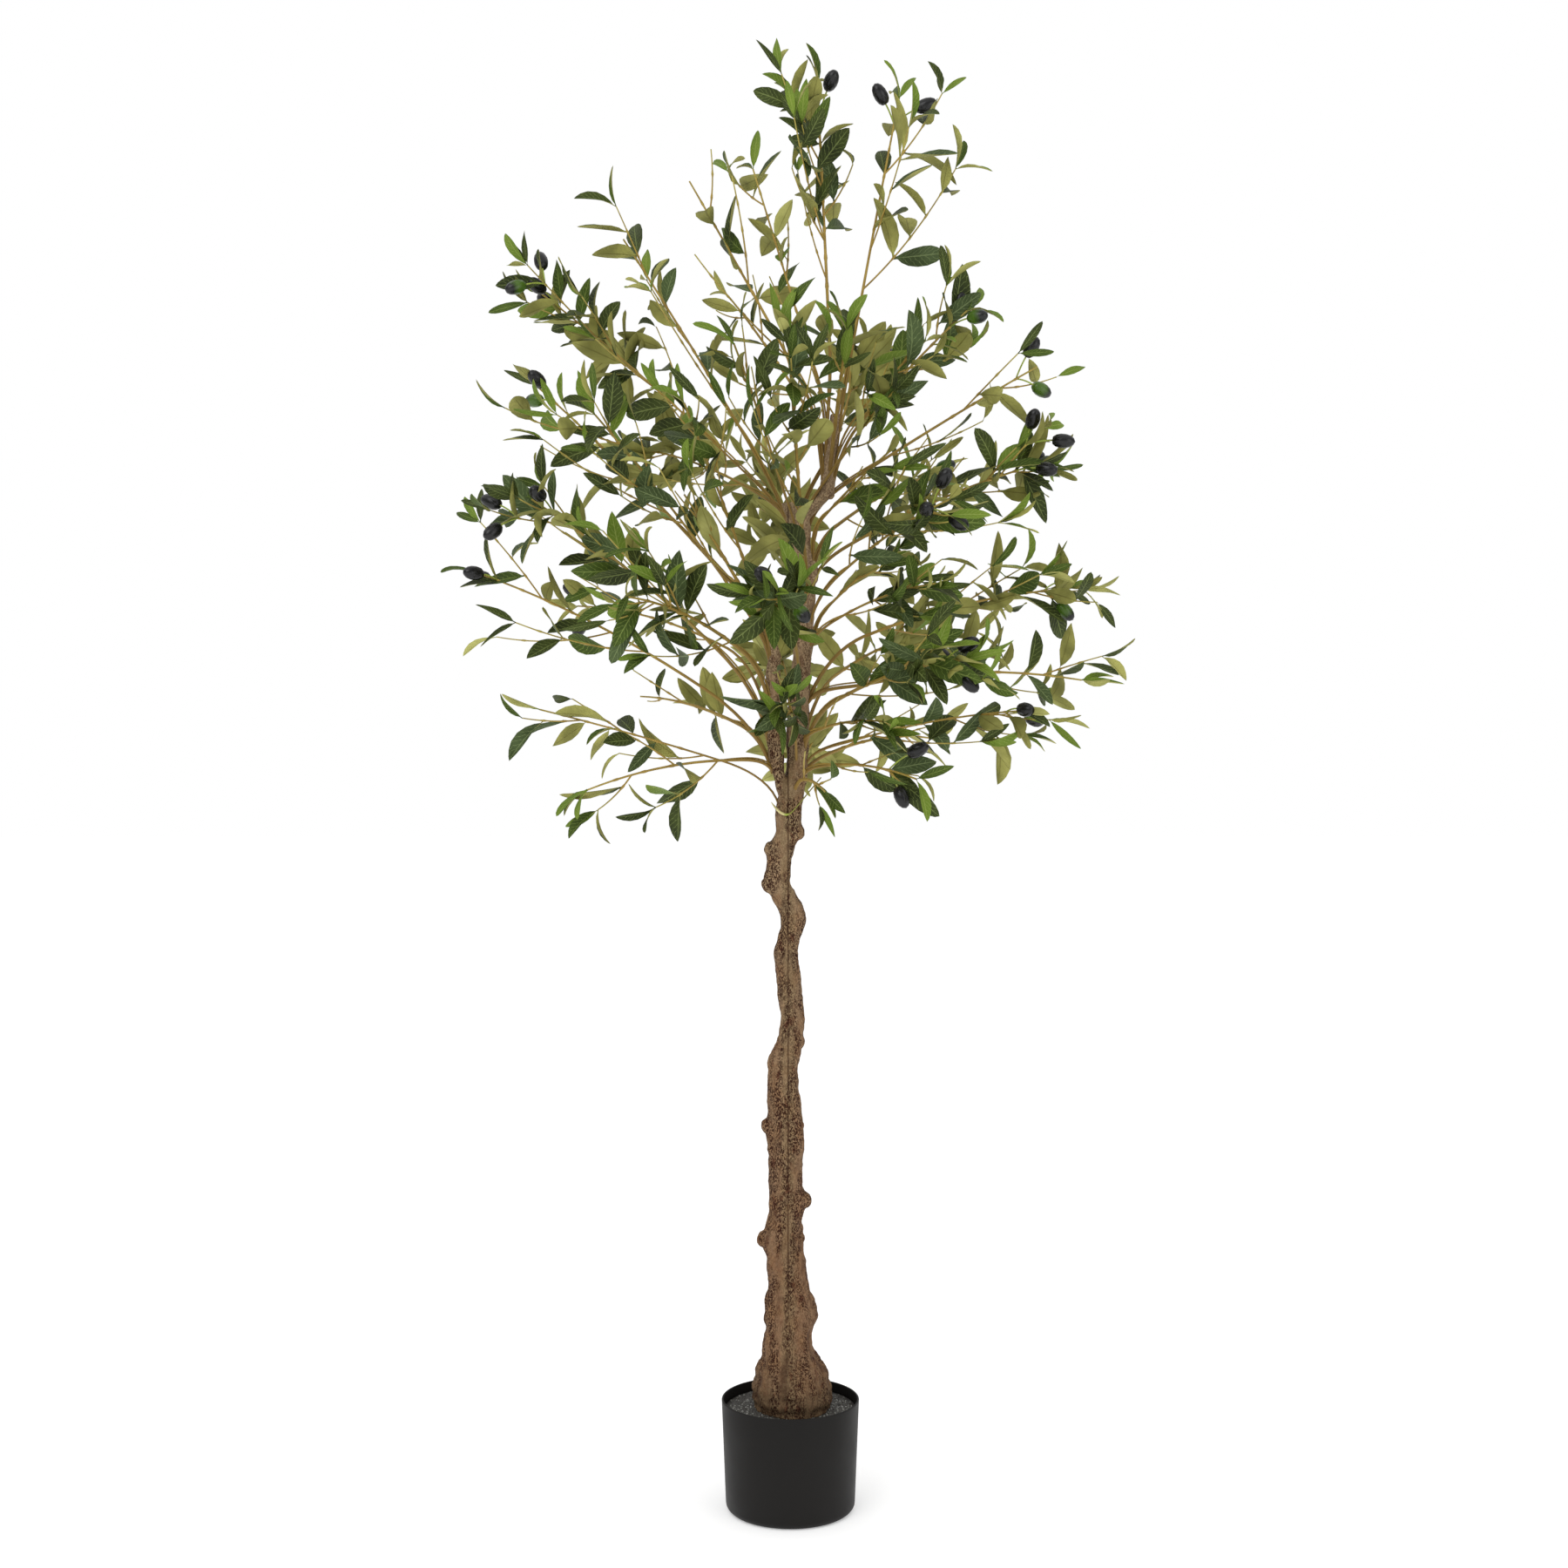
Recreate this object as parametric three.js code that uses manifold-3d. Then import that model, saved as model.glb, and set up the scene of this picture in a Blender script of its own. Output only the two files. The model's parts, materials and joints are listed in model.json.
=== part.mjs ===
// An artificial olive tree, 1.8 m tall, standing in a plain round pot.
// Lengths are millimetres and +Z is up. The origin is the centre of the pot's underside,
// the front is -Y and the tree's right-hand side is +X. A bearing turns from +X towards +Y.
// The trunk is one winding moulded stem with a short left bough, a right bough and a cut stub.
// Wire-cored stems leave them, and each stem carries its own mass of shoots, leaves and olives.
import * as THREE from 'three';
import { mergeVertices } from 'three/addons/utils/BufferGeometryUtils.js';
import Module from 'manifold-3d';

const wasm = await Module();
wasm.setup();

// The pot and what fills it
const POT_HEIGHT = 134;
const POT_RIM_RADIUS = 84;
const POT_FOOT_RADIUS = 79;
const POT_FOOT_ROUND = 9;
const POT_WALL = 2.4;
const POT_FLOOR = 4;
const RIM_ROUND = 1;
const POT_SIDES = 36;
const ROUND_STEPS = 4;
const SOIL_LEVEL = 122;

// How far a piece stands clear of the one that carries it
const CLEARANCE = 0.3;

// Moulded limbs: each row is a height, a place sideways, a place in depth and a radius
const TRUNK_BASE = SOIL_LEVEL + CLEARANCE;
const TRUNK_ROWS = [
  [TRUNK_BASE, 2, 0, 47],
  [150, 1, 0, 47.5],
  [166, 1.5, 0, 45.5],
  [177, 1, 0, 40.5],
  [191, 0, 1, 35],
  [212, -1, 2, 31],
  [240, -2, 2, 26.5],
  [268, -3, 2, 23],
  [300, -5.5, 3, 23.5],
  [341, -7, 4, 21.5],
  [375, -5, 2, 20],
  [410, -5.5, -1, 19.8],
  [451, -5, -4, 22],
  [484, -6.5, -4, 21],
  [515, -9.5, -6, 19.8],
  [545, -8, -8, 17.3],
  [571, -2, -6, 16.3],
  [598, 2.5, -2, 15],
  [622, 0, 3, 15.5],
  [648, -2, 6, 15],
  [680, -5, 9, 14.6],
  [703, 1, 9, 14.6],
  [719, 4, 7, 15.8],
  [737, -2, 4, 16],
  [762, -13.5, 0, 14.2],
  [782, -15, -3, 14.2],
  [805, -11.5, -5, 15.4],
  [826, -3.5, -4, 15],
  [858, -2, -1, 15.5],
  [885, 4, 3, 14.5],
  [912, 8.5, 6, 13.5],
  [953, 9, 7, 14.5],
  [1005, 12, 5, 12.5],
  [1062, 16.5, 2, 11],
  [1110, 19.5, 0, 10.8],
  [1150, 19, 1, 10.2],
  [1172, 14.5, 3, 10],
  [1196, 12, 3, 13],
  [1211, 12, 2, 11.5],
];
const LEFT_BOUGH_ROWS = [
  [862, -3, -2, 11],
  [884, -11, -7, 10],
  [908, -16, -9, 9.8],
  [953, -21, -9, 10.4],
  [1010, -21, -6, 9],
  [1046, -20, -5, 7.5],
  [1066, -28, -6, 7],
  [1083, -31, -6, 9.5],
  [1096, -30, -5, 10.5],
];
const RIGHT_BOUGH_ROWS = [
  [1192, 13, 2, 9],
  [1218, 22, 0, 9.5],
  [1242, 43, -2, 9.2],
  [1268, 47.5, -1, 8.5],
  [1294, 50.5, 1, 8],
  [1318, 53.5, 2, 7.4],
  [1338, 56, 2, 6.4],
];
const STUB_ROWS = [
  [1192, 9, 2, 9],
  [1213, 3, 1, 10.2],
  [1229, -2.5, 0, 10.6],
];
const TRUNK_RING_STEP = 16;
const BOUGH_RING_STEP = 10;
const TRUNK_SIDES = 12;
const BOUGH_SIDES = 9;
// The section is a little lobed, and the lobes turn slowly round the limb as it climbs
const LOBES = [
  { count: 2, share: 0.05, turn: 61 },
  { count: 3, share: 0.04, turn: -47 },
];

// Knots on the moulding: limb, height, bearing, how far each stands out, and its half height
const KNOTS = [
  { limb: 'trunk', height: 232, bearing: 0, rise: 13, half: 25 },
  { limb: 'trunk', height: 241, bearing: 180, rise: 8, half: 21 },
  { limb: 'trunk', height: 259, bearing: 80, rise: 8, half: 22 },
  { limb: 'trunk', height: 325, bearing: 184, rise: 12, half: 14 },
  { limb: 'trunk', height: 373, bearing: 2, rise: 10, half: 10 },
  { limb: 'trunk', height: 402, bearing: 100, rise: 8, half: 11 },
  { limb: 'trunk', height: 465, bearing: 178, rise: 7, half: 9 },
  { limb: 'trunk', height: 503, bearing: 62, rise: 6, half: 12 },
  { limb: 'trunk', height: 549, bearing: 186, rise: 5, half: 11 },
  { limb: 'trunk', height: 566, bearing: 8, rise: 4, half: 9 },
  { limb: 'trunk', height: 655, bearing: 115, rise: 6, half: 10 },
  { limb: 'trunk', height: 764, bearing: 182, rise: 6, half: 8 },
  { limb: 'trunk', height: 801, bearing: 176, rise: 5, half: 7 },
  { limb: 'trunk', height: 822, bearing: 356, rise: 6, half: 9 },
  { limb: 'trunk', height: 842, bearing: 84, rise: 5, half: 9 },
  { limb: 'trunk', height: 1146, bearing: 4, rise: 5, half: 10 },
  { limb: 'right', height: 1241, bearing: 330, rise: 3, half: 8 },
];

// How a stem, its shoots and its leaves grow
const SEED = 20617;
const STEM_FOOT_RADIUS = 2.4;
const STEM_TIP_RADIUS = 1.5;
const SHOOT_TIP_RADIUS = 1.15;
const TWIG_SIDES = 3;
const STEM_BENDS = 2;
const SPACE_STEPS = 12;
const TIP_ALLOWANCE = 40; // what the leaves at a stem's tip add to its length
const STEM_START = 0.55; // share of the limb's radius at which a stem's core begins
const SHOOT_COUNT = 3;
const SHOOT_RANGE = [0.36, 0.82];
const SHOOT_LENGTH = [0.6, 0.17];
const SHOOT_TRIMS = [1, 0.8, 0.62, 0.46];
const SHOOT_SWEEP = [28, 50];
const SHOOT_STEPS = 4;
const SHOOT_BEND = 0.5; // where a shoot bends, as a share of its length along its first direction
const SHOOT_END = { out: 0.82, ahead: 0.22, up: 0.06 };
const NODE_SPACING = 50;
const NODE_TURN = 37;
const NODE_LENGTH = 3.2;
const STEM_BARE = 0.3;
const SHOOT_BARE = 0.3;
const THIRD_LEAF = 0.6; // share of the nodes that have three leaves in place of two
const LEAF_LENGTH = [48, 76];
const LEAF_SIZES = [1.08, 0.86]; // from a twig's foot to its tip
const LEAF_SLIMNESS = [0.25, 0.33];
const LEAF_SPREAD = [38, 72];
const LEAF_TURN = 24;
const LEAF_ROLL = 36;
const LEAF_DROOP = [10, 75];
const LEAF_WIDEST = 0.46;
const TIP_LEAF_SHARE = 0.78;
const TIP_LEAF_SLIMNESS = [0.19, 0.25];
const TIP_LEAF_SPREAD = [26, 50];
const END_LEAF_SPREAD = 12;
const SPACE_MARGIN = 2.5;
const LIMB_MARGIN = 9;

// The leaves of the solids are fewer than the tree's, and a little larger
const LEAF_GROWTH = 1.08;
const LEAF_BREADTH = 1.4;
const LEAF_THICKNESS = 1.1;
const APART = 0.4; // how far what a mass bears keeps from the rest of it
const TOUCH = 0.001; // a shared volume, in cubic millimetres, that counts as none

// Olives hang in pairs on thin stalks near a twig's tip
const OLIVE_LENGTH = 28;
const OLIVE_RADIUS = 9;
const OLIVE_SIDES = 6;
const OLIVE_RINGS = [0.22, 0.74];
const OLIVE_BREADTH = 1.1; // makes up for the flats between so few sides
const OLIVE_DROOP = 0.25;
const STALK_LENGTH = [20, 31];
const STALK_SPREAD = [24, 50];
const STALK_RADIUS = 0.9;
const OLIVES_PER_TIP = 2;

const TRUNK_COLOUR = 0x8a745c;
const POT_COLOUR = 0x2b2a28;
const SOIL_COLOUR = 0x3a3b3a;
const FOLIAGE_COLOUR = 0x4d6334;

const UP = new THREE.Vector3(0, 0, 1);
const radians = THREE.MathUtils.degToRad;

/** A number that depends only on the whole-number keys, evenly spread from 0 to 1. */
function chance(...keys) {
  let hash = SEED;
  for (const key of keys) {
    hash = Math.imul(hash ^ (key + 1), 0x9e3779b1) >>> 0;
    hash = (hash ^ (hash >>> 15)) >>> 0;
    hash = Math.imul(hash, 0x85ebca6b) >>> 0;
    hash = (hash ^ (hash >>> 13)) >>> 0;
  }
  return hash / 4294967296;
}

/** A number between the two ends of a range, by a share from 0 to 1. */
function within([low, high], share) {
  return low + (high - low) * share;
}

/** The horizontal direction of a bearing in degrees. */
function heading(bearing) {
  return new THREE.Vector3(Math.cos(radians(bearing)), Math.sin(radians(bearing)), 0);
}

/** The direction square to another one that lies at a turn in degrees from a reference. */
function aside(ahead, reference, turn) {
  return reference.clone().addScaledVector(ahead, -reference.dot(ahead)).normalize()
    .applyAxisAngle(ahead, radians(turn));
}

/** The direction that leans by a tilt from another one, at a turn round it, in degrees. */
function leaning(ahead, reference, turn, tilt) {
  return ahead.clone().multiplyScalar(Math.cos(radians(tilt)))
    .addScaledVector(aside(ahead, reference, turn), Math.sin(radians(tilt)));
}

/** The centre and radius of a limb at a place along its rows, by a Catmull-Rom curve. */
function alongRows(rows, place) {
  const last = rows.length - 1;
  const row = Math.min(Math.floor(place), last - 1);
  const t = place - row;
  const [a, b, c, d] = [row - 1, row, row + 1, row + 2]
    .map((index) => rows[Math.min(Math.max(index, 0), last)]);
  const value = (k) => 0.5 * (2 * b[k] + (c[k] - a[k]) * t
    + (2 * a[k] - 5 * b[k] + 4 * c[k] - d[k]) * t * t
    + (3 * b[k] - a[k] - 3 * c[k] + d[k]) * t * t * t);
  return { centre: new THREE.Vector3(value(1), value(2), value(0)), radius: value(3) };
}

/** Places along a limb's rows, a given step of height apart, from its foot to its tip. */
function placesAlong(rows, step) {
  const places = [];
  for (let row = 0; row < rows.length - 1; row += 1) {
    const parts = Math.max(1, Math.round((rows[row + 1][0] - rows[row][0]) / step));
    for (let part = 0; part < parts; part += 1) places.push(row + part / parts);
  }
  places.push(rows.length - 1);
  return places;
}

/** The place along a limb's rows at which its centreline reaches a height. */
function placeAtHeight(rows, height) {
  const row = rows.findIndex((next, index) => index > 0 && next[0] >= height) - 1;
  return row + (height - rows[row][0]) / (rows[row + 1][0] - rows[row][0]);
}

/** How far the moulding stands out from its plain radius at a height and a bearing. */
function relief(limb, height, bearing, radius) {
  const lobes = LOBES.reduce((sum, lobe) => sum
    + radius * lobe.share * Math.cos(radians(bearing) * lobe.count + height / lobe.turn), 0);
  const knots = KNOTS.filter((knot) => knot.limb === limb).reduce((sum, knot) => {
    const turned = ((bearing - knot.bearing + 540) % 360) - 180;
    const across = radians(turned) * radius / (knot.half * 1.1);
    const along = (height - knot.height) / knot.half;
    return sum + knot.rise * Math.exp(-(across * across) - along * along);
  }, 0);
  return lobes + knots;
}

/**
 * A skin that grows ring by ring. The points of a ring run anticlockwise as seen from its
 * far end, and single faces can be left out for something else to grow from their edges.
 */
class Skin {
  constructor() {
    this.points = [];
    this.faces = [];
  }

  /** Adds a ring of points and returns their numbers. */
  ring(points) {
    return points.map((point) => this.points.push(point) - 1);
  }

  /** Whether a point lies behind the plane of a face, by their numbers. */
  isBehind(point, [a, b, c]) {
    const [from, to, also] = [a, b, c].map((corner) => this.points[corner]);
    const normal = to.clone().sub(from).cross(also.clone().sub(from));
    return this.points[point].clone().sub(from).dot(normal) <= 0;
  }

  /** Joins a ring to the next, of as many points, with each fold outwards. The faces that
   *  end on the next ring are returned, and the open ones of them are left out. */
  join(low, high, open = []) {
    return high.map((corner, index) => {
      const next = (index + 1) % high.length;
      const near = [low[index], low[next], high[next]];
      const outwards = this.isBehind(corner, near);
      const face = [outwards ? low[index] : low[next], high[next], corner];
      this.faces.push(outwards ? near : [low[index], low[next], corner]);
      if (!open.includes(index)) this.faces.push(face);
      return face;
    });
  }

  /** Joins a ring to one of twice as many points. */
  widen(low, high) {
    low.forEach((corner, index) => {
      const next = low[(index + 1) % low.length];
      const between = high[2 * index + 1];
      this.faces.push(
        [corner, between, high[2 * index]],
        [corner, next, between],
        [next, high[(2 * index + 2) % high.length], between],
      );
    });
  }

  /** Closes a ring with a fan to a point beyond it. */
  point(ring, tip) {
    const [last] = this.ring([tip]);
    ring.forEach((corner, index) => {
      this.faces.push([corner, ring[(index + 1) % ring.length], last]);
    });
  }

  /** Closes a ring flat, facing onwards or back. */
  close(ring, back = false) {
    const corners = back ? [...ring].reverse() : ring;
    for (let index = 1; index < corners.length - 1; index += 1) {
      this.faces.push([corners[0], corners[index], corners[index + 1]]);
    }
  }

  /** The same ring, begun from the point that lies furthest in a direction. */
  begunFrom(ring, direction) {
    const reach = ring.map((corner) => this.points[corner].dot(direction));
    const first = reach.indexOf(Math.max(...reach));
    return [...ring.slice(first), ...ring.slice(0, first)];
  }

  /** The skin as a geometry. */
  geometry() {
    const positions = this.points.flatMap((point) => point.toArray());
    return new THREE.BufferGeometry()
      .setAttribute('position', new THREE.Float32BufferAttribute(positions, 3))
      .setIndex(this.faces.flat());
  }
}

/** A solid for cutting and joining, from a closed geometry. */
function solidOf(geometry) {
  const bare = geometry.clone();
  bare.deleteAttribute('normal');
  bare.deleteAttribute('uv');
  const merged = mergeVertices(bare, 1e-4);
  return new wasm.Manifold(new wasm.Mesh({
    numProp: 3,
    vertProperties: new Float32Array(merged.attributes.position.array),
    triVerts: new Uint32Array(merged.index.array),
  }));
}

/** The geometry of a solid. */
function geometryOf(solid) {
  const mesh = solid.getMesh();
  return new THREE.BufferGeometry()
    .setAttribute('position', new THREE.Float32BufferAttribute(mesh.vertProperties, 3))
    .setIndex(new THREE.BufferAttribute(mesh.triVerts, 1));
}

/** The largest body of a solid, without loose scraps or sealed hollows. */
function mainBody(solid) {
  return solid.decompose().reduce((most, body) => (body.volume() > most.volume() ? body : most));
}

/** A moulded limb as a solid, grown by a clearance on all sides. */
function limbSolid(limb, grown = 0) {
  const skin = new Skin();
  const places = placesAlong(limb.rows, limb.step);
  const rings = places.map((place, index) => {
    const { centre, radius } = alongRows(limb.rows, place);
    if (index === 0) centre.z -= grown;
    if (index === places.length - 1) centre.z += grown;
    return skin.ring(Array.from({ length: limb.sides }, (_, side) => {
      const bearing = (360 * side) / limb.sides;
      const reach = radius + relief(limb.name, centre.z, bearing, radius) + grown;
      return centre.clone().addScaledVector(heading(bearing), reach);
    }));
  });
  rings.slice(1).forEach((ring, index) => skin.join(rings[index], ring));
  skin.close(rings[0], true);
  skin.close(rings.at(-1));
  return solidOf(skin.geometry());
}

const TRUNK = { name: 'trunk', rows: TRUNK_ROWS, step: TRUNK_RING_STEP, sides: TRUNK_SIDES };
const LEFT = { name: 'left', rows: LEFT_BOUGH_ROWS, step: BOUGH_RING_STEP, sides: BOUGH_SIDES };
const RIGHT = { name: 'right', rows: RIGHT_BOUGH_ROWS, step: BOUGH_RING_STEP, sides: BOUGH_SIDES };
const STUB = { name: 'stub', rows: STUB_ROWS, step: BOUGH_RING_STEP, sides: BOUGH_SIDES };
const LIMBS = [TRUNK, LEFT, RIGHT, STUB];

/** One foliage mass: the limb and height that its stem leaves, the stem's end and its fruit. */
function mass(name, limb, footHeight, bearing, reach, tipHeight, arch, fruit) {
  return { name, limb, footHeight, bearing, reach, tipHeight, arch, fruit };
}

// Bearing, reach from the trunk's axis and height place each stem's end, arch is how far the
// stem bows upwards as a share of its length, and fruit is the number of its fruited tips
const MASSES = [
  mass('low_left', LEFT, 892, 176, 348, 988, 0.02, 0),
  mass('low_left_drop', LEFT, 912, 195, 290, 872, 0.12, 0),
  mass('low_front', TRUNK, 925, 268, 195, 1000, 0.1, 0),
  mass('low_front_right', TRUNK, 888, 288, 165, 872, 0.12, 0),
  mass('low_right_front', TRUNK, 902, 327, 215, 888, 0.14, 1),
  mass('low_right', TRUNK, 918, 354, 335, 982, 0.08, 1),
  mass('low_back_right', TRUNK, 905, 40, 290, 950, 0.14, 0),
  mass('low_back', TRUNK, 892, 84, 250, 930, 0.14, 1),
  mass('low_back_left', LEFT, 935, 138, 300, 1010, 0.1, 0),
  mass('mid_left', LEFT, 945, 179, 424, 1165, 0.09, 1),
  mass('mid_left_front', LEFT, 985, 197, 350, 1245, 0.08, 2),
  mass('mid_front_left', LEFT, 1015, 227, 305, 1108, 0.14, 0),
  mass('mid_front', TRUNK, 1020, 266, 255, 1112, 0.14, 1),
  mass('mid_front_right', TRUNK, 960, 317, 305, 1035, 0.12, 1),
  mass('mid_right_low', TRUNK, 988, 357, 394, 1014, 0.12, 0),
  mass('mid_right', TRUNK, 1035, 12, 398, 1142, 0.1, 1),
  mass('mid_back_right', TRUNK, 985, 50, 340, 1100, 0.12, 1),
  mass('mid_back', TRUNK, 950, 94, 325, 1090, 0.12, 0),
  mass('mid_back_left', LEFT, 1020, 149, 360, 1130, 0.12, 1),
  mass('high_left', LEFT, 1088, 181, 338, 1400, 0.05, 1),
  mass('high_left_top', STUB, 1212, 171, 345, 1525, 0.05, 2),
  mass('high_front_left', LEFT, 1060, 207, 282, 1345, 0.05, 0),
  mass('high_front', TRUNK, 1120, 268, 170, 1425, 0.06, 0),
  mass('high_front_right', TRUNK, 1105, 319, 275, 1228, 0.1, 2),
  mass('high_right', TRUNK, 1150, 356, 340, 1290, 0.08, 2),
  mass('high_right_top', RIGHT, 1236, 3, 338, 1420, 0.02, 1),
  mass('high_back_right', TRUNK, 1170, 44, 300, 1310, 0.1, 1),
  mass('high_back', TRUNK, 1130, 97, 275, 1310, 0.1, 1),
  mass('high_back_left', STUB, 1216, 138, 300, 1340, 0.1, 0),
  mass('inner_low_right', TRUNK, 942, 311, 200, 962, 0.1, 0),
  mass('inner_mid_left', LEFT, 1076, 203, 160, 1265, 0.06, 0),
  mass('inner_mid_right', TRUNK, 1078, 22, 175, 1205, 0.08, 0),
  mass('inner_front_right', TRUNK, 1062, 322, 250, 1128, 0.12, 0),
  mass('inner_high_left', LEFT, 1092, 222, 185, 1365, 0.04, 0),
  mass('inner_high_right', TRUNK, 1186, 336, 160, 1310, 0.06, 0),
  mass('peak_left', STUB, 1227, 181, 225, 1585, 0.03, 0),
  mass('peak_front_left', STUB, 1221, 240, 155, 1430, 0.06, 0),
  mass('peak_right', RIGHT, 1290, 353, 243, 1487, 0.05, 1),
  mass('peak_front_right', RIGHT, 1262, 312, 205, 1360, 0.08, 0),
  mass('peak_inner_right', RIGHT, 1302, 338, 200, 1440, 0.06, 0),
  mass('peak_front', RIGHT, 1284, 300, 140, 1450, 0.05, 0),
  mass('peak_back_right', RIGHT, 1275, 58, 195, 1480, 0.06, 1),
  mass('peak_back_left', RIGHT, 1298, 124, 175, 1545, 0.06, 0),
  mass('crown_far_left', RIGHT, 1312, 184, 143, 1655, 0.02, 0),
  mass('crown_inner_left', RIGHT, 1324, 172, 58, 1678, 0, 0),
  mass('crown_left', RIGHT, 1335, 350, 32, 1776, 0, 1),
  mass('crown_right', RIGHT, 1318, 356, 140, 1760, 0.02, 1),
];

/** The point and direction of a three-point curve at a share of its length. */
function onCurve([start, middle, end], t) {
  const point = start.clone().multiplyScalar((1 - t) * (1 - t))
    .addScaledVector(middle, 2 * t * (1 - t))
    .addScaledVector(end, t * t);
  const ahead = middle.clone().sub(start).multiplyScalar(1 - t)
    .addScaledVector(end.clone().sub(middle), t)
    .normalize();
  return { point, ahead };
}

/** Evenly spaced points of a curve, ends included. */
function pointsOf(curve, steps) {
  return Array.from({ length: steps + 1 }, (_, step) => onCurve(curve, step / steps).point);
}

/** The curve of a mass's main stem, from inside its limb to the stem's end. */
function stemCurve(grown) {
  const { centre, radius } = alongRows(
    grown.limb.rows,
    placeAtHeight(grown.limb.rows, grown.footHeight),
  );
  const furthest = heading(grown.bearing).multiplyScalar(grown.reach).setZ(grown.tipHeight);
  const outward = furthest.clone().sub(centre).setZ(0).normalize();
  const start = centre.addScaledVector(outward, radius * STEM_START);
  const end = furthest.addScaledVector(
    furthest.clone().sub(start).normalize(),
    -TIP_ALLOWANCE,
  );
  const middle = start.clone().add(end).multiplyScalar(0.5)
    .addScaledVector(UP, grown.arch * start.distanceTo(end));
  return [start, middle, end];
}

/** The distance from a point to a line of points. */
function distanceTo(points, spot) {
  const nearest = new THREE.Vector3();
  return points.slice(1).reduce((least, end, index) => {
    new THREE.Line3(points[index], end).closestPointToPoint(spot, true, nearest);
    return Math.min(least, nearest.distanceTo(spot));
  }, Infinity);
}

const STEMS = MASSES.map(stemCurve);
const STEM_LINES = STEMS.map((curve) => pointsOf(curve, SPACE_STEPS));
const LIMB_LINES = LIMBS.map(({ rows }) => placesAlong(rows, BOUGH_RING_STEP)
  .map((place) => alongRows(rows, place)));

/** Whether a point lies in the mass's own space: nearer its stem than any other stem. */
function inSpace(spot, own) {
  const home = distanceTo(STEM_LINES[own], spot);
  return STEM_LINES.every((line, index) => index === own
    || distanceTo(line, spot) > home + SPACE_MARGIN);
}

/** Whether a point keeps clear of every moulded limb. */
function clearOfLimbs(spot) {
  return LIMB_LINES.every((line) => line
    .every(({ centre, radius }) => centre.distanceTo(spot) > radius + LIMB_MARGIN));
}

/** Whether all of these points may be used by a mass. */
function fits(spots, own) {
  return spots.every((spot) => clearOfLimbs(spot) && inSpace(spot, own));
}

/** The length of a twig, near enough, from end to end. */
function lengthOf(curve) {
  return curve[0].distanceTo(curve[2]);
}

/** The points of a twig's three corners at a share of its length. */
function twigCorners(twig, { share, turn }, grown = 0) {
  const { point, ahead } = onCurve(twig.curve, share);
  const radius = within(twig.radii, share) + grown;
  return Array.from({ length: TWIG_SIDES }, (_, side) => {
    const angle = turn + (360 * (side - 0.5)) / TWIG_SIDES;
    return aside(ahead, twig.reference, angle).multiplyScalar(radius).add(point);
  });
}

/** The nodes of a twig, a leaf's spacing apart, each with the turn of its three faces. */
function nodesOf(twig) {
  const count = Math.max(1, Math.round((lengthOf(twig.curve) * (1 - twig.bare)) / NODE_SPACING));
  return Array.from({ length: count + 1 }, (_, index) => ({
    name: `${twig.branch} ${index}`,
    index,
    share: twig.bare + (1 - twig.bare) * (index / count),
    turn: twig.phase + NODE_TURN * index,
    last: index === count,
  }));
}

/** A twig with its nodes, and the sections at which it bends and bears. */
function twigWith(twig, barren) {
  const nodes = nodesOf(twig).filter(({ name }) => !barren.has(name));
  const half = NODE_LENGTH / lengthOf(twig.curve) / 2;
  const bends = Array.from({ length: twig.bends }, (_, index) => (
    { share: (twig.bare * (index + 1)) / (twig.bends + 1), turn: twig.phase }));
  const sections = nodes.flatMap((node) => {
    const share = Math.min(node.share, 1 - half);
    return [
      { share: share - half, turn: node.turn },
      { share: share + half, turn: node.turn, node },
    ];
  });
  return { ...twig, nodes, sections: [...bends, ...sections] };
}

/** A mass's main stem, bare at its foot. */
function stemOf(own, barren) {
  const curve = STEMS[own];
  const outward = curve[2].clone().sub(curve[0]).setZ(0).normalize();
  return twigWith({
    own,
    branch: 0,
    curve,
    bare: STEM_BARE,
    bends: STEM_BENDS,
    radii: [STEM_FOOT_RADIUS, STEM_TIP_RADIUS],
    reference: new THREE.Vector3().crossVectors(UP, outward),
    phase: 360 * chance(own, 2),
  }, barren);
}

/** A shoot from one face of a stem's node, no longer than its trim. */
function shootOf(stem, node, face, branch, trim, barren) {
  const keys = [stem.own, branch];
  const { point, ahead } = onCurve(stem.curve, node.share);
  const turn = node.turn + (360 * face) / TWIG_SIDES + LEAF_TURN * (chance(...keys, 4) - 0.5);
  const out = leaning(ahead, stem.reference, turn, within(SHOOT_SWEEP, chance(...keys, 3)));
  const length = trim * lengthOf(stem.curve) * within(SHOOT_LENGTH, node.share);
  return twigWith({
    own: stem.own,
    branch,
    curve: [
      point,
      point.clone().addScaledVector(out, length * SHOOT_BEND),
      point.clone().addScaledVector(out, length * SHOOT_END.out)
        .addScaledVector(ahead, length * SHOOT_END.ahead)
        .addScaledVector(UP, length * SHOOT_END.up),
    ],
    bare: SHOOT_BARE,
    bends: 0,
    radii: [STEM_TIP_RADIUS, SHOOT_TIP_RADIUS],
    reference: ahead,
    phase: 360 * chance(...keys, 2),
  }, barren);
}

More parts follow.
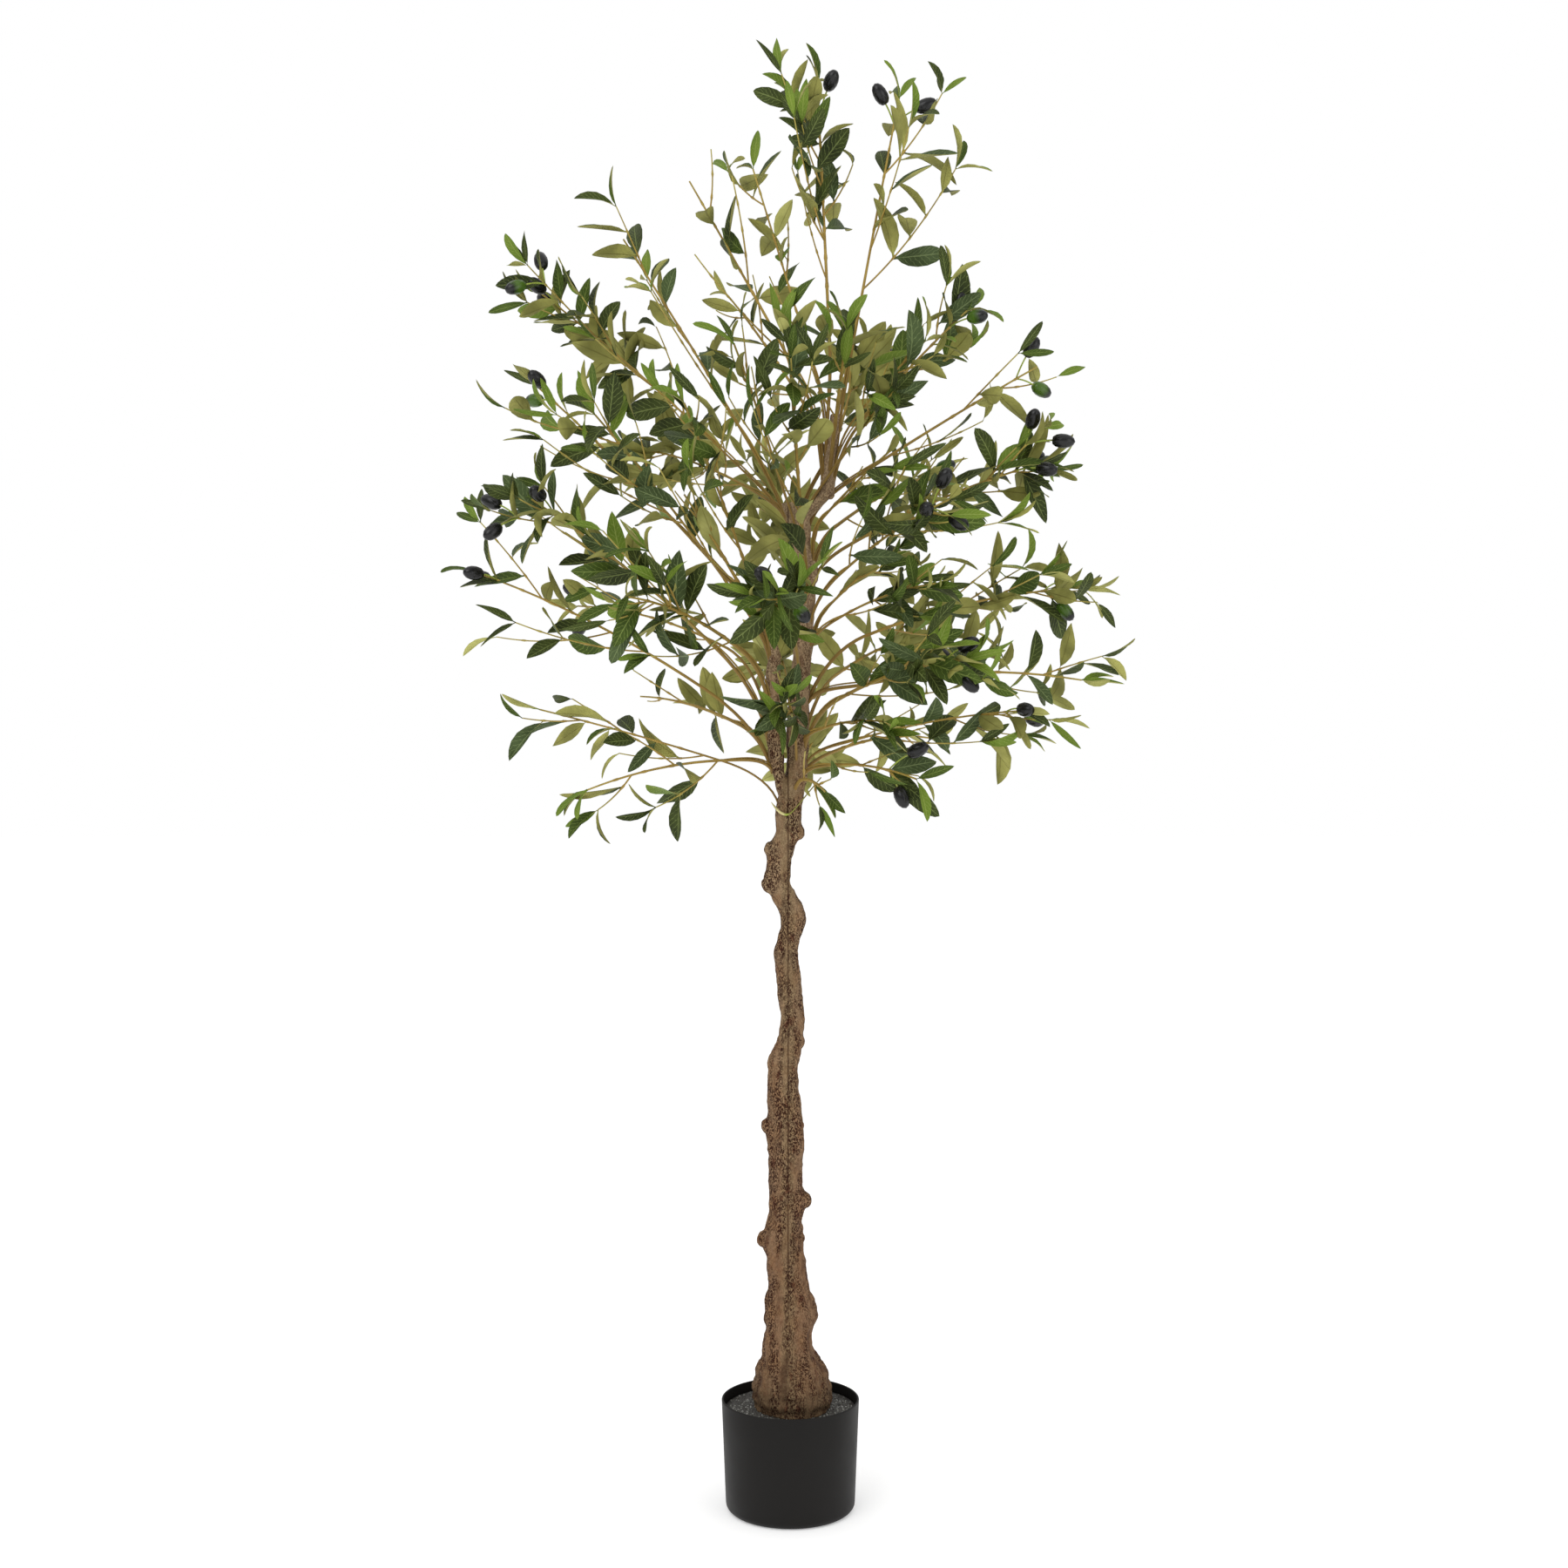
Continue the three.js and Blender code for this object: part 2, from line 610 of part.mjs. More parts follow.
/** A leaf from a node: its root, direction, upper face, length, width and how far it bends. */
function leafOf(twig, node, face) {
  const keys = [twig.own, twig.branch, node.index, 10 + face];
  const { point, ahead } = onCurve(twig.curve, node.share);
  const tilts = node.last ? TIP_LEAF_SPREAD : LEAF_SPREAD;
  const spread = face === TWIG_SIDES ? END_LEAF_SPREAD * chance(...keys, 1)
    : within(tilts, chance(...keys, 1));
  const turn = node.turn + (360 * face) / TWIG_SIDES + LEAF_TURN * (2 * chance(...keys, 7) - 1);
  const along = leaning(ahead, twig.reference, turn, spread);
  const upper = aside(along, ahead, LEAF_ROLL * (2 * chance(...keys, 2) - 1));
  const size = within(LEAF_SIZES, node.share) * (node.last ? TIP_LEAF_SHARE : 1);
  const length = within(LEAF_LENGTH, chance(...keys, 3)) * size;
  const slimness = within(node.last ? TIP_LEAF_SLIMNESS : LEAF_SLIMNESS, chance(...keys, 4));
  const droop = radians(within(LEAF_DROOP, chance(...keys, 5)));
  return { root: point, along, upper, length, width: length * slimness, droop };
}

/** The midline point of a leaf at a share of its length, with the upper face there. */
function leafMidline(leaf, share, growth = 1) {
  const angle = leaf.droop * share;
  const radius = (leaf.length * growth) / leaf.droop;
  const point = leaf.root.clone()
    .addScaledVector(leaf.along, radius * Math.sin(angle))
    .addScaledVector(leaf.upper, -radius * (1 - Math.cos(angle)));
  const upper = leaf.upper.clone().multiplyScalar(Math.cos(angle))
    .addScaledVector(leaf.along, Math.sin(angle));
  return { point, upper };
}

/** The points by which a leaf is tested against its mass's space. */
function leafCorners(leaf) {
  const side = new THREE.Vector3().crossVectors(leaf.upper, leaf.along);
  const middle = leafMidline(leaf, 0.5).point;
  return [
    middle.clone().addScaledVector(side, leaf.width / 2),
    middle.clone().addScaledVector(side, -leaf.width / 2),
    leafMidline(leaf, 1).point,
  ];
}

/** A leaf's shape: the ridge and two edges where it is widest, and its tip. */
function leafShape(leaf, grown) {
  const side = new THREE.Vector3().crossVectors(leaf.upper, leaf.along);
  const half = (leaf.width * LEAF_BREADTH) / 2 + grown;
  const { point, upper } = leafMidline(leaf, LEAF_WIDEST, LEAF_GROWTH);
  const edge = point.clone().addScaledVector(upper, grown);
  const widest = [
    point.clone().addScaledVector(upper, -LEAF_THICKNESS - grown),
    edge.clone().addScaledVector(side, half),
    edge.clone().addScaledVector(side, -half),
  ];
  return {
    rings: [widest],
    tip: leafMidline(leaf, 1, LEAF_GROWTH).point,
    first: leaf.upper.clone().negate(),
  };
}

/** An olive on its stalk from a node's face: where it hangs, and the way it hangs. */
function oliveOf(twig, node, face) {
  const keys = [twig.own, twig.branch, node.index, 40 + face];
  const { point, ahead } = onCurve(twig.curve, node.share);
  const turn = node.turn + (360 * face) / TWIG_SIDES + LEAF_TURN * (2 * chance(...keys, 1) - 1);
  const out = leaning(ahead, twig.reference, turn, within(STALK_SPREAD, chance(...keys, 2)));
  const top = point.clone().addScaledVector(out, within(STALK_LENGTH, chance(...keys, 3)));
  return { top, hang: out.addScaledVector(UP, -OLIVE_DROOP).normalize() };
}

/** A point on an olive's axis, at a share of its length from the stalk. */
function oliveAxis(olive, share) {
  return olive.top.clone().addScaledVector(olive.hang, share * OLIVE_LENGTH);
}

/** An olive's shape: the stalk's end, the rings of the fruit and its tip. */
function oliveShape(olive, grown) {
  const ring = (share, sides, radius) => Array.from({ length: sides }, (_, side) => (
    aside(olive.hang, UP, (360 * side) / sides)
      .multiplyScalar(radius + grown)
      .add(oliveAxis(olive, share))));
  const stalk = ring(0, TWIG_SIDES, STALK_RADIUS);
  return {
    rings: [stalk, ...OLIVE_RINGS.map((share) => (
      ring(share, OLIVE_SIDES, OLIVE_BREADTH * OLIVE_RADIUS * Math.sqrt(1 - (2 * share - 1) ** 2))))],
    tip: oliveAxis(olive, 1),
    first: stalk[0].clone().sub(olive.top),
  };
}

/** A twig's shape: its rings, and the way to the first of them's first corner. */
function twigShape(twig, grown) {
  const rings = twig.sections.map((section) => twigCorners(twig, section, grown));
  return { rings, first: rings[0][0].clone().sub(onCurve(twig.curve, twig.sections[0].share).point) };
}

/** Grows a shape out of a ring, and returns its last ring and the faces that end on each. */
function grow(skin, root, shape, open = []) {
  let ring = skin.begunFrom(root, shape.first);
  const faces = shape.rings.map((points, index) => {
    const next = skin.ring(points);
    const wider = next.length > ring.length;
    const made = wider ? skin.widen(ring, next) : skin.join(ring, next, open[index]);
    ring = next;
    return made;
  });
  if (shape.tip) skin.point(ring, shape.tip);
  else if (open.length === 0) skin.close(ring);
  return { faces, ring };
}

/** A shape as a body of its own, on a ring of points. */
function bodyOf(points, shape) {
  const skin = new Skin();
  const root = skin.ring(points);
  skin.close(root, true);
  grow(skin, root, shape);
  return solidOf(skin.geometry());
}

/** One mass of foliage as it grows: its skin, the bodies it has and its open faces. */
class Foliage {
  constructor(own, barren) {
    this.own = own;
    this.barren = barren;
    this.skin = new Skin();
    this.bodies = [];
    this.buds = [];
    this.stem = stemOf(own, barren);
    const foot = twigCorners(this.stem, { share: 0, turn: this.stem.phase });
    const root = this.skin.ring(foot);
    this.skin.close(root, true);
    this.bodies.push(bodyOf(foot, twigShape(this.stem, 0)));
    this.growTwig(root, this.stem);
  }

  /** Whether a shape can grow from a face, clear of all that the mass already has. */
  hasRoomFor(corners, shapeOf) {
    const wide = shapeOf(APART);
    const points = this.skin.begunFrom(corners, wide.first)
      .map((corner) => this.skin.points[corner]);
    const body = bodyOf(points, wide);
    const clear = this.bodies.every((other) => body.intersect(other).volume() < TOUCH);
    if (clear) this.bodies.push(bodyOf(points, shapeOf(0)));
    return clear;
  }

  /** Grows a twig from a ring, with three open faces at each node and one at its end. */
  growTwig(root, twig) {
    const open = twig.sections.map(({ node }) => (node ? [0, 1, 2] : []));
    const { faces, ring } = grow(this.skin, root, twigShape(twig, 0), open);
    twig.sections.forEach(({ node }, index) => {
      if (node) {
        faces[index].forEach((corners, face) => this.buds.push({ twig, node, face, corners }));
      }
    });
    this.buds.push({ twig, node: twig.nodes.at(-1), face: TWIG_SIDES, corners: ring });
  }

  /** Grows something from a bud, which is then no longer open. */
  use(bud, shape) {
    grow(this.skin, bud.corners, shape);
    this.buds.splice(this.buds.indexOf(bud), 1);
  }

  /** Grows the shoots, each from the face and of the length that the space has room for. */
  addShoots() {
    const shoots = [];
    for (let index = 0; index < SHOOT_COUNT; index += 1) {
      const share = within(SHOOT_RANGE, index / (SHOOT_COUNT - 1));
      const off = ({ node }) => Math.abs(node.share - share);
      const free = this.buds
        .filter(({ twig, node }) => twig === this.stem && !node.last)
        .filter(({ node }) => this.buds.filter((bud) => bud.node === node).length === TWIG_SIDES);
      const nearest = Math.min(...free.map(off));
      const near = free.filter((bud) => off(bud) === nearest);
      const tries = SHOOT_TRIMS.flatMap((trim) => near.map((_, step) => {
        const bud = near[(index + step) % near.length];
        const { node, face } = bud;
        return { bud, shoot: shootOf(this.stem, node, face, index + 1, trim, this.barren) };
      }));
      const found = tries.find(({ bud, shoot }) => (
        fits(pointsOf(shoot.curve, SHOOT_STEPS).slice(1), this.own)
        && this.hasRoomFor(bud.corners, (grown) => twigShape(shoot, grown))));
      if (found) {
        this.buds.splice(this.buds.indexOf(found.bud), 1);
        this.growTwig(found.bud.corners, found.shoot);
        shoots.push(found.shoot);
      }
    }
    return shoots;
  }

  /** Hangs olives from the last node but one of a twig. */
  addOlives(twig) {
    const node = twig.nodes.at(-2) ?? twig.nodes.at(-1);
    this.buds.filter((bud) => bud.twig === twig && bud.node === node)
      .slice(0, OLIVES_PER_TIP)
      .forEach((bud) => {
        const olive = oliveOf(twig, node, bud.face);
        const reach = [0, 0.5, 1].map((share) => oliveAxis(olive, share));
        const shapeOf = (grown) => oliveShape(olive, grown);
        if (fits(reach, this.own) && this.hasRoomFor(bud.corners, shapeOf)) {
          this.use(bud, shapeOf(0));
        }
      });
  }

  /** Grows leaves from the buds that are left, two or three to a node, from the tips back. */
  addLeaves() {
    [...this.buds].reverse().forEach((bud) => {
      const { twig, node, face } = bud;
      const keys = [twig.own, twig.branch, node.index];
      const spare = Math.floor(TWIG_SIDES * chance(...keys, 8));
      const wanted = face !== spare || (!node.last && chance(...keys, 6) < THIRD_LEAF);
      const leaf = leafOf(twig, node, face);
      const shapeOf = (grown) => leafShape(leaf, grown);
      if (wanted && fits(leafCorners(leaf), this.own) && this.hasRoomFor(bud.corners, shapeOf)) {
        this.use(bud, shapeOf(0));
      }
    });
  }

  /** The finished mass as one solid, cut clear of the limbs. */
  solid(limbs) {
    this.buds.forEach(({ corners }) => this.skin.close(corners));
    const whole = solidOf(this.skin.geometry());
    return mainBody(limbs.reduce((left, limb) => left.subtract(limb), whole));
  }
}

/** One mass of foliage with its shoots, olives and leaves, without the nodes named barren. */
function grownFoliage(own, barren) {
  const foliage = new Foliage(own, barren);
  const shoots = foliage.addShoots();
  [foliage.stem, ...shoots.reverse()].slice(0, MASSES[own].fruit)
    .forEach((twig) => foliage.addOlives(twig));
  foliage.addLeaves();
  return foliage;
}

/** One mass of foliage as a solid, grown again without the nodes that bore nothing. */
function foliageSolid(own, limbs) {
  const bare = grownFoliage(own, new Set()).buds.filter(({ node, face }, _, buds) => (
    face === 0 && !node.last
    && buds.filter((bud) => bud.node === node).length === TWIG_SIDES));
  return grownFoliage(own, new Set(bare.map(({ node }) => node.name))).solid(limbs);
}

/** The profile of the pot's foot corner, from its underside up into its wall. */
function footCorner() {
  return Array.from({ length: ROUND_STEPS + 1 }, (_, step) => {
    const angle = radians(-90 + (90 * step) / ROUND_STEPS);
    return new THREE.Vector2(
      POT_FOOT_RADIUS - POT_FOOT_ROUND + POT_FOOT_ROUND * Math.cos(angle),
      POT_FOOT_ROUND + POT_FOOT_ROUND * Math.sin(angle),
    );
  });
}

/** The inside radius of the pot at a height. */
function potInside(height) {
  return POT_FOOT_RADIUS - POT_WALL
    + ((POT_RIM_RADIUS - POT_FOOT_RADIUS) * height) / POT_HEIGHT;
}

/** A closed shape of revolution about the tree's upright axis. */
function turned(profile) {
  return new THREE.LatheGeometry(profile, POT_SIDES).rotateX(Math.PI / 2);
}

/** The thin-walled pot, open at the top. */
function potGeometry() {
  return turned([
    new THREE.Vector2(0, 0),
    ...footCorner(),
    new THREE.Vector2(POT_RIM_RADIUS, POT_HEIGHT - RIM_ROUND),
    new THREE.Vector2(POT_RIM_RADIUS - POT_WALL / 2, POT_HEIGHT),
    new THREE.Vector2(potInside(POT_HEIGHT), POT_HEIGHT - RIM_ROUND),
    new THREE.Vector2(potInside(POT_FOOT_ROUND), POT_FOOT_ROUND),
    new THREE.Vector2(potInside(POT_FLOOR) - POT_FOOT_ROUND / 2, POT_FLOOR),
    new THREE.Vector2(0, POT_FLOOR),
  ]);
}

/** The weighted fill of the pot, with its flat gravel top. */
function soilGeometry() {
  const low = POT_FLOOR + CLEARANCE;
  return turned([
    new THREE.Vector2(0, low),
    new THREE.Vector2(potInside(POT_FLOOR) - POT_FOOT_ROUND / 2 - CLEARANCE, low),
    new THREE.Vector2(potInside(POT_FOOT_ROUND) - CLEARANCE * 2, POT_FOOT_ROUND + CLEARANCE),
    new THREE.Vector2(potInside(SOIL_LEVEL) - CLEARANCE * 2, SOIL_LEVEL),
    new THREE.Vector2(0, SOIL_LEVEL),
  ]);
}

/** A named node with its own material. */
function node(name, geometry, color, roughness) {
  const made = new THREE.Mesh(
    geometry,
    new THREE.MeshStandardMaterial({ color, roughness, metalness: 0 }),
  );
  made.name = name;
  return made;
}

const tree = new THREE.Group();
tree.name = 'artificial_olive_tree';
tree.add(node('pot', potGeometry(), POT_COLOUR, 0.55));
tree.add(node('soil', soilGeometry(), SOIL_COLOUR, 0.9));

const grownTrunk = limbSolid(TRUNK, CLEARANCE);
const grownRight = limbSolid(RIGHT, CLEARANCE);
const grownLimbs = LIMBS.map((limb) => limbSolid(limb, CLEARANCE));
tree.add(node('trunk', geometryOf(limbSolid(TRUNK)), TRUNK_COLOUR, 0.85));
tree.add(node(
  'left_bough',
  geometryOf(mainBody(limbSolid(LEFT).subtract(grownTrunk))),
  TRUNK_COLOUR,
  0.85,
));
tree.add(node(
  'right_bough',
  geometryOf(mainBody(limbSolid(RIGHT).subtract(grownTrunk))),
  TRUNK_COLOUR,
  0.85,
));
tree.add(node(
  'stub_bough',
  geometryOf(mainBody(limbSolid(STUB).subtract(grownTrunk).subtract(grownRight))),
  TRUNK_COLOUR,
  0.85,
));
MASSES.forEach(({ name }, own) => {
  const geometry = geometryOf(foliageSolid(own, grownLimbs));
  tree.add(node(`foliage_${name}`, geometry, FOLIAGE_COLOUR, 0.6));
});

export default tree;
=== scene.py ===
"""The looks of an artificial olive tree, 1.8 m tall, in a plain round pot.

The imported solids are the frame. The pot, the fill and the moulded limbs take their sizes from them,
and the foliage grows from the limbs by the rule that grew the solids, carried to finer twigs.
The growth rule is in millimetres, as the tree's maker would give it. Meshes are in metres.
"""

import sys

import json
import logging
import math
from collections.abc import Callable, Iterable, Sequence
from dataclasses import dataclass, field
from enum import Enum
from functools import partial
from itertools import combinations, product

import bpy
import numpy as np
from bpy.types import Collection, Material, Mesh, Node, NodeSocket, NodeTree, Object
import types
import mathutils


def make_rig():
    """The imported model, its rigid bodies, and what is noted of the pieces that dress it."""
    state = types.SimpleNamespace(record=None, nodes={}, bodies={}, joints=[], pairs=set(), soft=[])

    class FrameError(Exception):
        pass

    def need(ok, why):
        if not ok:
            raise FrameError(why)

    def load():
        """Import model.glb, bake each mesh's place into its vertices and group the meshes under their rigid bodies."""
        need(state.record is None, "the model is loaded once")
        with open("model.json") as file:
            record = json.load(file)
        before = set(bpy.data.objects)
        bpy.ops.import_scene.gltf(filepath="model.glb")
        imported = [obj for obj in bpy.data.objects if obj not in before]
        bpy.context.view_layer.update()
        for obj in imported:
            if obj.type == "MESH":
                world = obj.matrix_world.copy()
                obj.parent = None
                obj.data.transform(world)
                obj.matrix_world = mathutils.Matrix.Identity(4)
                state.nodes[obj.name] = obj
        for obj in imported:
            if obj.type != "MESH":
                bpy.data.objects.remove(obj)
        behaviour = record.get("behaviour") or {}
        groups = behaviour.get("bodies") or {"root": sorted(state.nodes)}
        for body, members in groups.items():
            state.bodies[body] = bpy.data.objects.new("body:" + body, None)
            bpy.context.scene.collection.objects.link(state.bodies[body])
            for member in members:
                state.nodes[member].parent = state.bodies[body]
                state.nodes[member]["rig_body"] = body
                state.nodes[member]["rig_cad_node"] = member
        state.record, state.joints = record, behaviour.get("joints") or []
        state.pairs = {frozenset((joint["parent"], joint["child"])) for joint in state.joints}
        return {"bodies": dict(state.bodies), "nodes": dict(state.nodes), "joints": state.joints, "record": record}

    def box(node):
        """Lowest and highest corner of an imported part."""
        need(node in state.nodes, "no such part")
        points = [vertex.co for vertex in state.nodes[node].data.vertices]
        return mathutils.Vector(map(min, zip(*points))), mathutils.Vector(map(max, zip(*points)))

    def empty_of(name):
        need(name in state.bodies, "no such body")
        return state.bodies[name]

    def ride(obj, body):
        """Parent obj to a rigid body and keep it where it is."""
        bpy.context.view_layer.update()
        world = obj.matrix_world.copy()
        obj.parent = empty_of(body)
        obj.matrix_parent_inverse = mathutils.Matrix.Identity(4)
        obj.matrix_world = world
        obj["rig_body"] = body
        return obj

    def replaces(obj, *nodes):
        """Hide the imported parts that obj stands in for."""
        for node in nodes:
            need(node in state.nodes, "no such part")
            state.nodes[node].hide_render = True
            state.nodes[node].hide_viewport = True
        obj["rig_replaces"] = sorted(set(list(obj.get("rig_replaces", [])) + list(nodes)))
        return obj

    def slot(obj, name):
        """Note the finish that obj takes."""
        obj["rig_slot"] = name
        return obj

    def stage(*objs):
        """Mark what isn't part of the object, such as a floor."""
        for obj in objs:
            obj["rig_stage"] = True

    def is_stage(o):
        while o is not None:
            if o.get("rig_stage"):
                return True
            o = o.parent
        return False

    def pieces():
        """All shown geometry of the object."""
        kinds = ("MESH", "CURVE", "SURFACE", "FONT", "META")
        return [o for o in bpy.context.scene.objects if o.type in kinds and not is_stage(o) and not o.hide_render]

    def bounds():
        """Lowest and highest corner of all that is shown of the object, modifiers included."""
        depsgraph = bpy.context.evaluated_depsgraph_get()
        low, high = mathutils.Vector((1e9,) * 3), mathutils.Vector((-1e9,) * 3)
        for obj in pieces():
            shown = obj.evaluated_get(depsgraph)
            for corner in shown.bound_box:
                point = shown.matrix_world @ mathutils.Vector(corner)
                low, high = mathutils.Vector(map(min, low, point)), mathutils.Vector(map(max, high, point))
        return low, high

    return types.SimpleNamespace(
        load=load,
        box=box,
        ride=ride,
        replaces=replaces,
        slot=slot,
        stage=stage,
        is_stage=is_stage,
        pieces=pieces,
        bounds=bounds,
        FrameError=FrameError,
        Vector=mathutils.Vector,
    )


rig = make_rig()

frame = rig.load()
CAD_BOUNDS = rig.bounds()

LOG = logging.getLogger("olive_tree")
SIZE_FILE = "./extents.json"
BODY = "root"
MM = 0.001
UP = np.array([0.0, 0.0, 1.0])
FRONT = np.array([0.0, -1.0, 0.0])
LEVEL = np.array([1.0, 1.0, 0.0])
UV_NAME = "UVMap"

Vector = np.ndarray
Pair = tuple[float, float]
Triple = tuple[float, float, float]
Values = dict[str, object]
Inputs = dict[int | str, object]
Shape = tuple[np.ndarray, list[list[int]]]
AddNode = Callable[..., Node]
Wire = tuple[np.ndarray, np.ndarray, np.ndarray]
Leaf = tuple[Vector, Vector, Vector, Vector, int, int]
SOCKET_KINDS = {float: "NodeSocketFloat", int: "NodeSocketInt", Object: "NodeSocketObject",
                Material: "NodeSocketMaterial", Collection: "NodeSocketCollection"}


class Slot(Enum):
    """The record's material slots."""

    POT = "pot_plastic"
    FILL = "gravel_fill"
    BARK = "bark_plastic"
    FOLIAGE = "foliage_cloth"


class Tier(Enum):
    """The storeys of the crown, each with the first words of its masses' names."""

    LOW = ("low",)
    MIDDLE = ("mid", "inner_low", "inner_mid", "inner_front")
    HIGH = ("high", "inner_high")
    CROWN = ("peak", "crown")


class Tone(Enum):
    """The cloths that the leaves are cut from, by the colour of their upper side."""

    DARK = 0
    BLUISH = 1
    MIDDLE = 2
    YOUNG = 3


class Ripeness(Enum):
    """The two colours that the olives are moulded in."""

    BLACK = 0
    TURNING = 1


def linear(code: str) -> tuple[float, ...]:
    """The linear red, green, blue and alpha of an opaque colour, from its six hex digits in sRGB."""
    parts = (int(code[at:at + 2], 16) / 255 for at in (0, 2, 4))
    return *(p / 12.92 if p <= 0.04045 else ((p + 0.055) / 1.055) ** 2.4 for p in parts), 1.0


def add_node(tree: NodeTree, kind: str, inputs: Inputs | None = None, **settings: object) -> Node:
    """Adds a node to a tree, with its settings, values and links.

    Args:
        tree: The shader or geometry tree.
        kind: The node's type name, in which ShaderNode may be left out.
        inputs: Values, output sockets, or nodes that mean their first output in use, by the name or
            number of the input that they go to.
        settings: The node's own properties.

    Returns:
        The new node.
    """
    node = tree.nodes.new(kind if "Node" in kind else f"ShaderNode{kind}")
    for name, value in settings.items():
        setattr(node, name, value)
    for key, value in (inputs or {}).items():
        if isinstance(value, Node):
            value = next(socket for socket in value.outputs if socket.enabled)
        if isinstance(value, NodeSocket):
            tree.links.new(value, node.inputs[key])
        else:
            node.inputs[key].default_value = value
    return node


def blank_material(name: str) -> tuple[Material, AddNode]:
    """Makes a material with an empty node tree.

    Args:
        name: The finish's own name.

    Returns:
        The material, and add_node for its tree.
    """
    material = bpy.data.materials.new(name)
    material.use_nodes = True
    material.node_tree.nodes.clear()
    return material, partial(add_node, material.node_tree)


def surface(add: AddNode, inputs: Inputs) -> None:
    """Ends a material in one opaque surface, by add_node for its tree and the surface's inputs."""
    add("OutputMaterial", {"Surface": add("BsdfPrincipled", inputs)})


@dataclass(frozen=True)
class PrintedCloth:
    """Woven polyester, heat-cut and printed: soft satin, with fine printed veins in a lighter colour."""

    name: str
    colour: str
    shade: str
    veins: str
    vein_share: float
    roughness: float = 0.58
    gloss: float = 0.18
    vein_pairs: float = 9.0
    vein_slope: float = 0.42
    vein_width: float = 0.09
    vein_wander: float = 1.1
    rib_share: float = 0.04
    side_share: float = 0.85
    patch_size: float = 0.035
    patch_limits: Pair = (0.35, 0.65)

    def material(self) -> Material:
        """Builds the finish from the leaf's own UV map: u runs across the leaf and v along it.

        The print has a dozen pairs of side veins 0.5 mm wide, drawn fewer and wider so that they show.

        Returns:
            The material.
        """
        material, add = blank_material(self.name)
        place = add("UVMap", uv_map=UV_NAME)
        split = add("SeparateXYZ", {0: place})
        off = add("Math", {0: split, 1: 0.5}, operation="SUBTRACT")
        across = add("Math", {0: off}, operation="ABSOLUTE")
        lean = add("Math", {0: across, 1: -self.vein_slope, 2: split.outputs[1]}, operation="MULTIPLY_ADD")
        count = add("Math", {0: lean, 1: self.vein_pairs}, operation="MULTIPLY")
        wander = add("TexNoise", {"Vector": place, "Scale": 7.0, "Detail": 2.0})
        bent = add("Math", {0: wander, 1: self.vein_wander, 2: count}, operation="MULTIPLY_ADD")
        saw = add("Math", {0: bent, 1: 0.5}, operation="PINGPONG")
        side_veins, rib = (
            add("MapRange", {0: value, 1: width * edge, 2: width, 3: most, 4: 0.0})
            for value, width, edge, most in ((saw, self.vein_width, 0.25, self.side_share),
                                             (across, self.rib_share, 0.35, 1.0)))
        veins = add("Math", {0: side_veins, 1: rib}, operation="MAXIMUM")
        here = add("TexCoord").outputs["Object"]
        patches = add("TexNoise", {"Vector": here, "Scale": 1 / self.patch_size, "Detail": 2.0})
        low, high = self.patch_limits
        spread = add("MapRange", {0: patches, 1: low, 2: high})
        cloth = add("Mix", {0: spread, 6: linear(self.colour), 7: linear(self.shade)}, data_type="RGBA")
        amount = add("Math", {0: veins, 1: self.vein_share}, operation="MULTIPLY")
        printed = add("Mix", {0: amount, 6: cloth, 7: linear(self.veins)}, data_type="RGBA")
        bump = add("Bump", {"Strength": 0.25, "Distance": 0.4 * MM, "Height": veins})
        surface(add, {"Base Color": printed, "Roughness": self.roughness, "Normal": bump,
                      "Specular IOR Level": self.gloss})
        return material


@dataclass(frozen=True)
class CoatedWire:
    """Steel wire in an extruded polyethylene coat: waxy, brown at the trunk and ochre towards the tips."""

    name: str
    old: str
    grown: str
    young: str
    roughness: float = 0.48
    gloss: float = 0.3
    streak_length: float = 0.012

    def material(self) -> Material:
        """Builds the finish from the wire's own age, which is 0 at its foot and 1 at its tip.

        Returns:
            The material.
        """
        material, add = blank_material(self.name)
        age = add("Attribute", attribute_name="age").outputs["Fac"]
        here = add("TexCoord").outputs["Object"]
        streaks = add("TexNoise", {"Vector": here, "Scale": 1 / self.streak_length, "Detail": 3.0})
        colour = linear(self.old)
        for value, low, high, most, over in (
                (age, 0.0, 0.35, 1.0, self.grown), (age, 0.6, 1.0, 1.0, self.young),
                (streaks, 0.4, 0.7, 0.55, self.old)):
            share = add("MapRange", {0: value, 1: low, 2: high, 3: 0.0, 4: most})
            colour = add("Mix", {0: share, 6: colour, 7: linear(over)}, data_type="RGBA")
        surface(add, {"Base Color": colour, "Roughness": self.roughness, "Specular IOR Level": self.gloss})
        return material


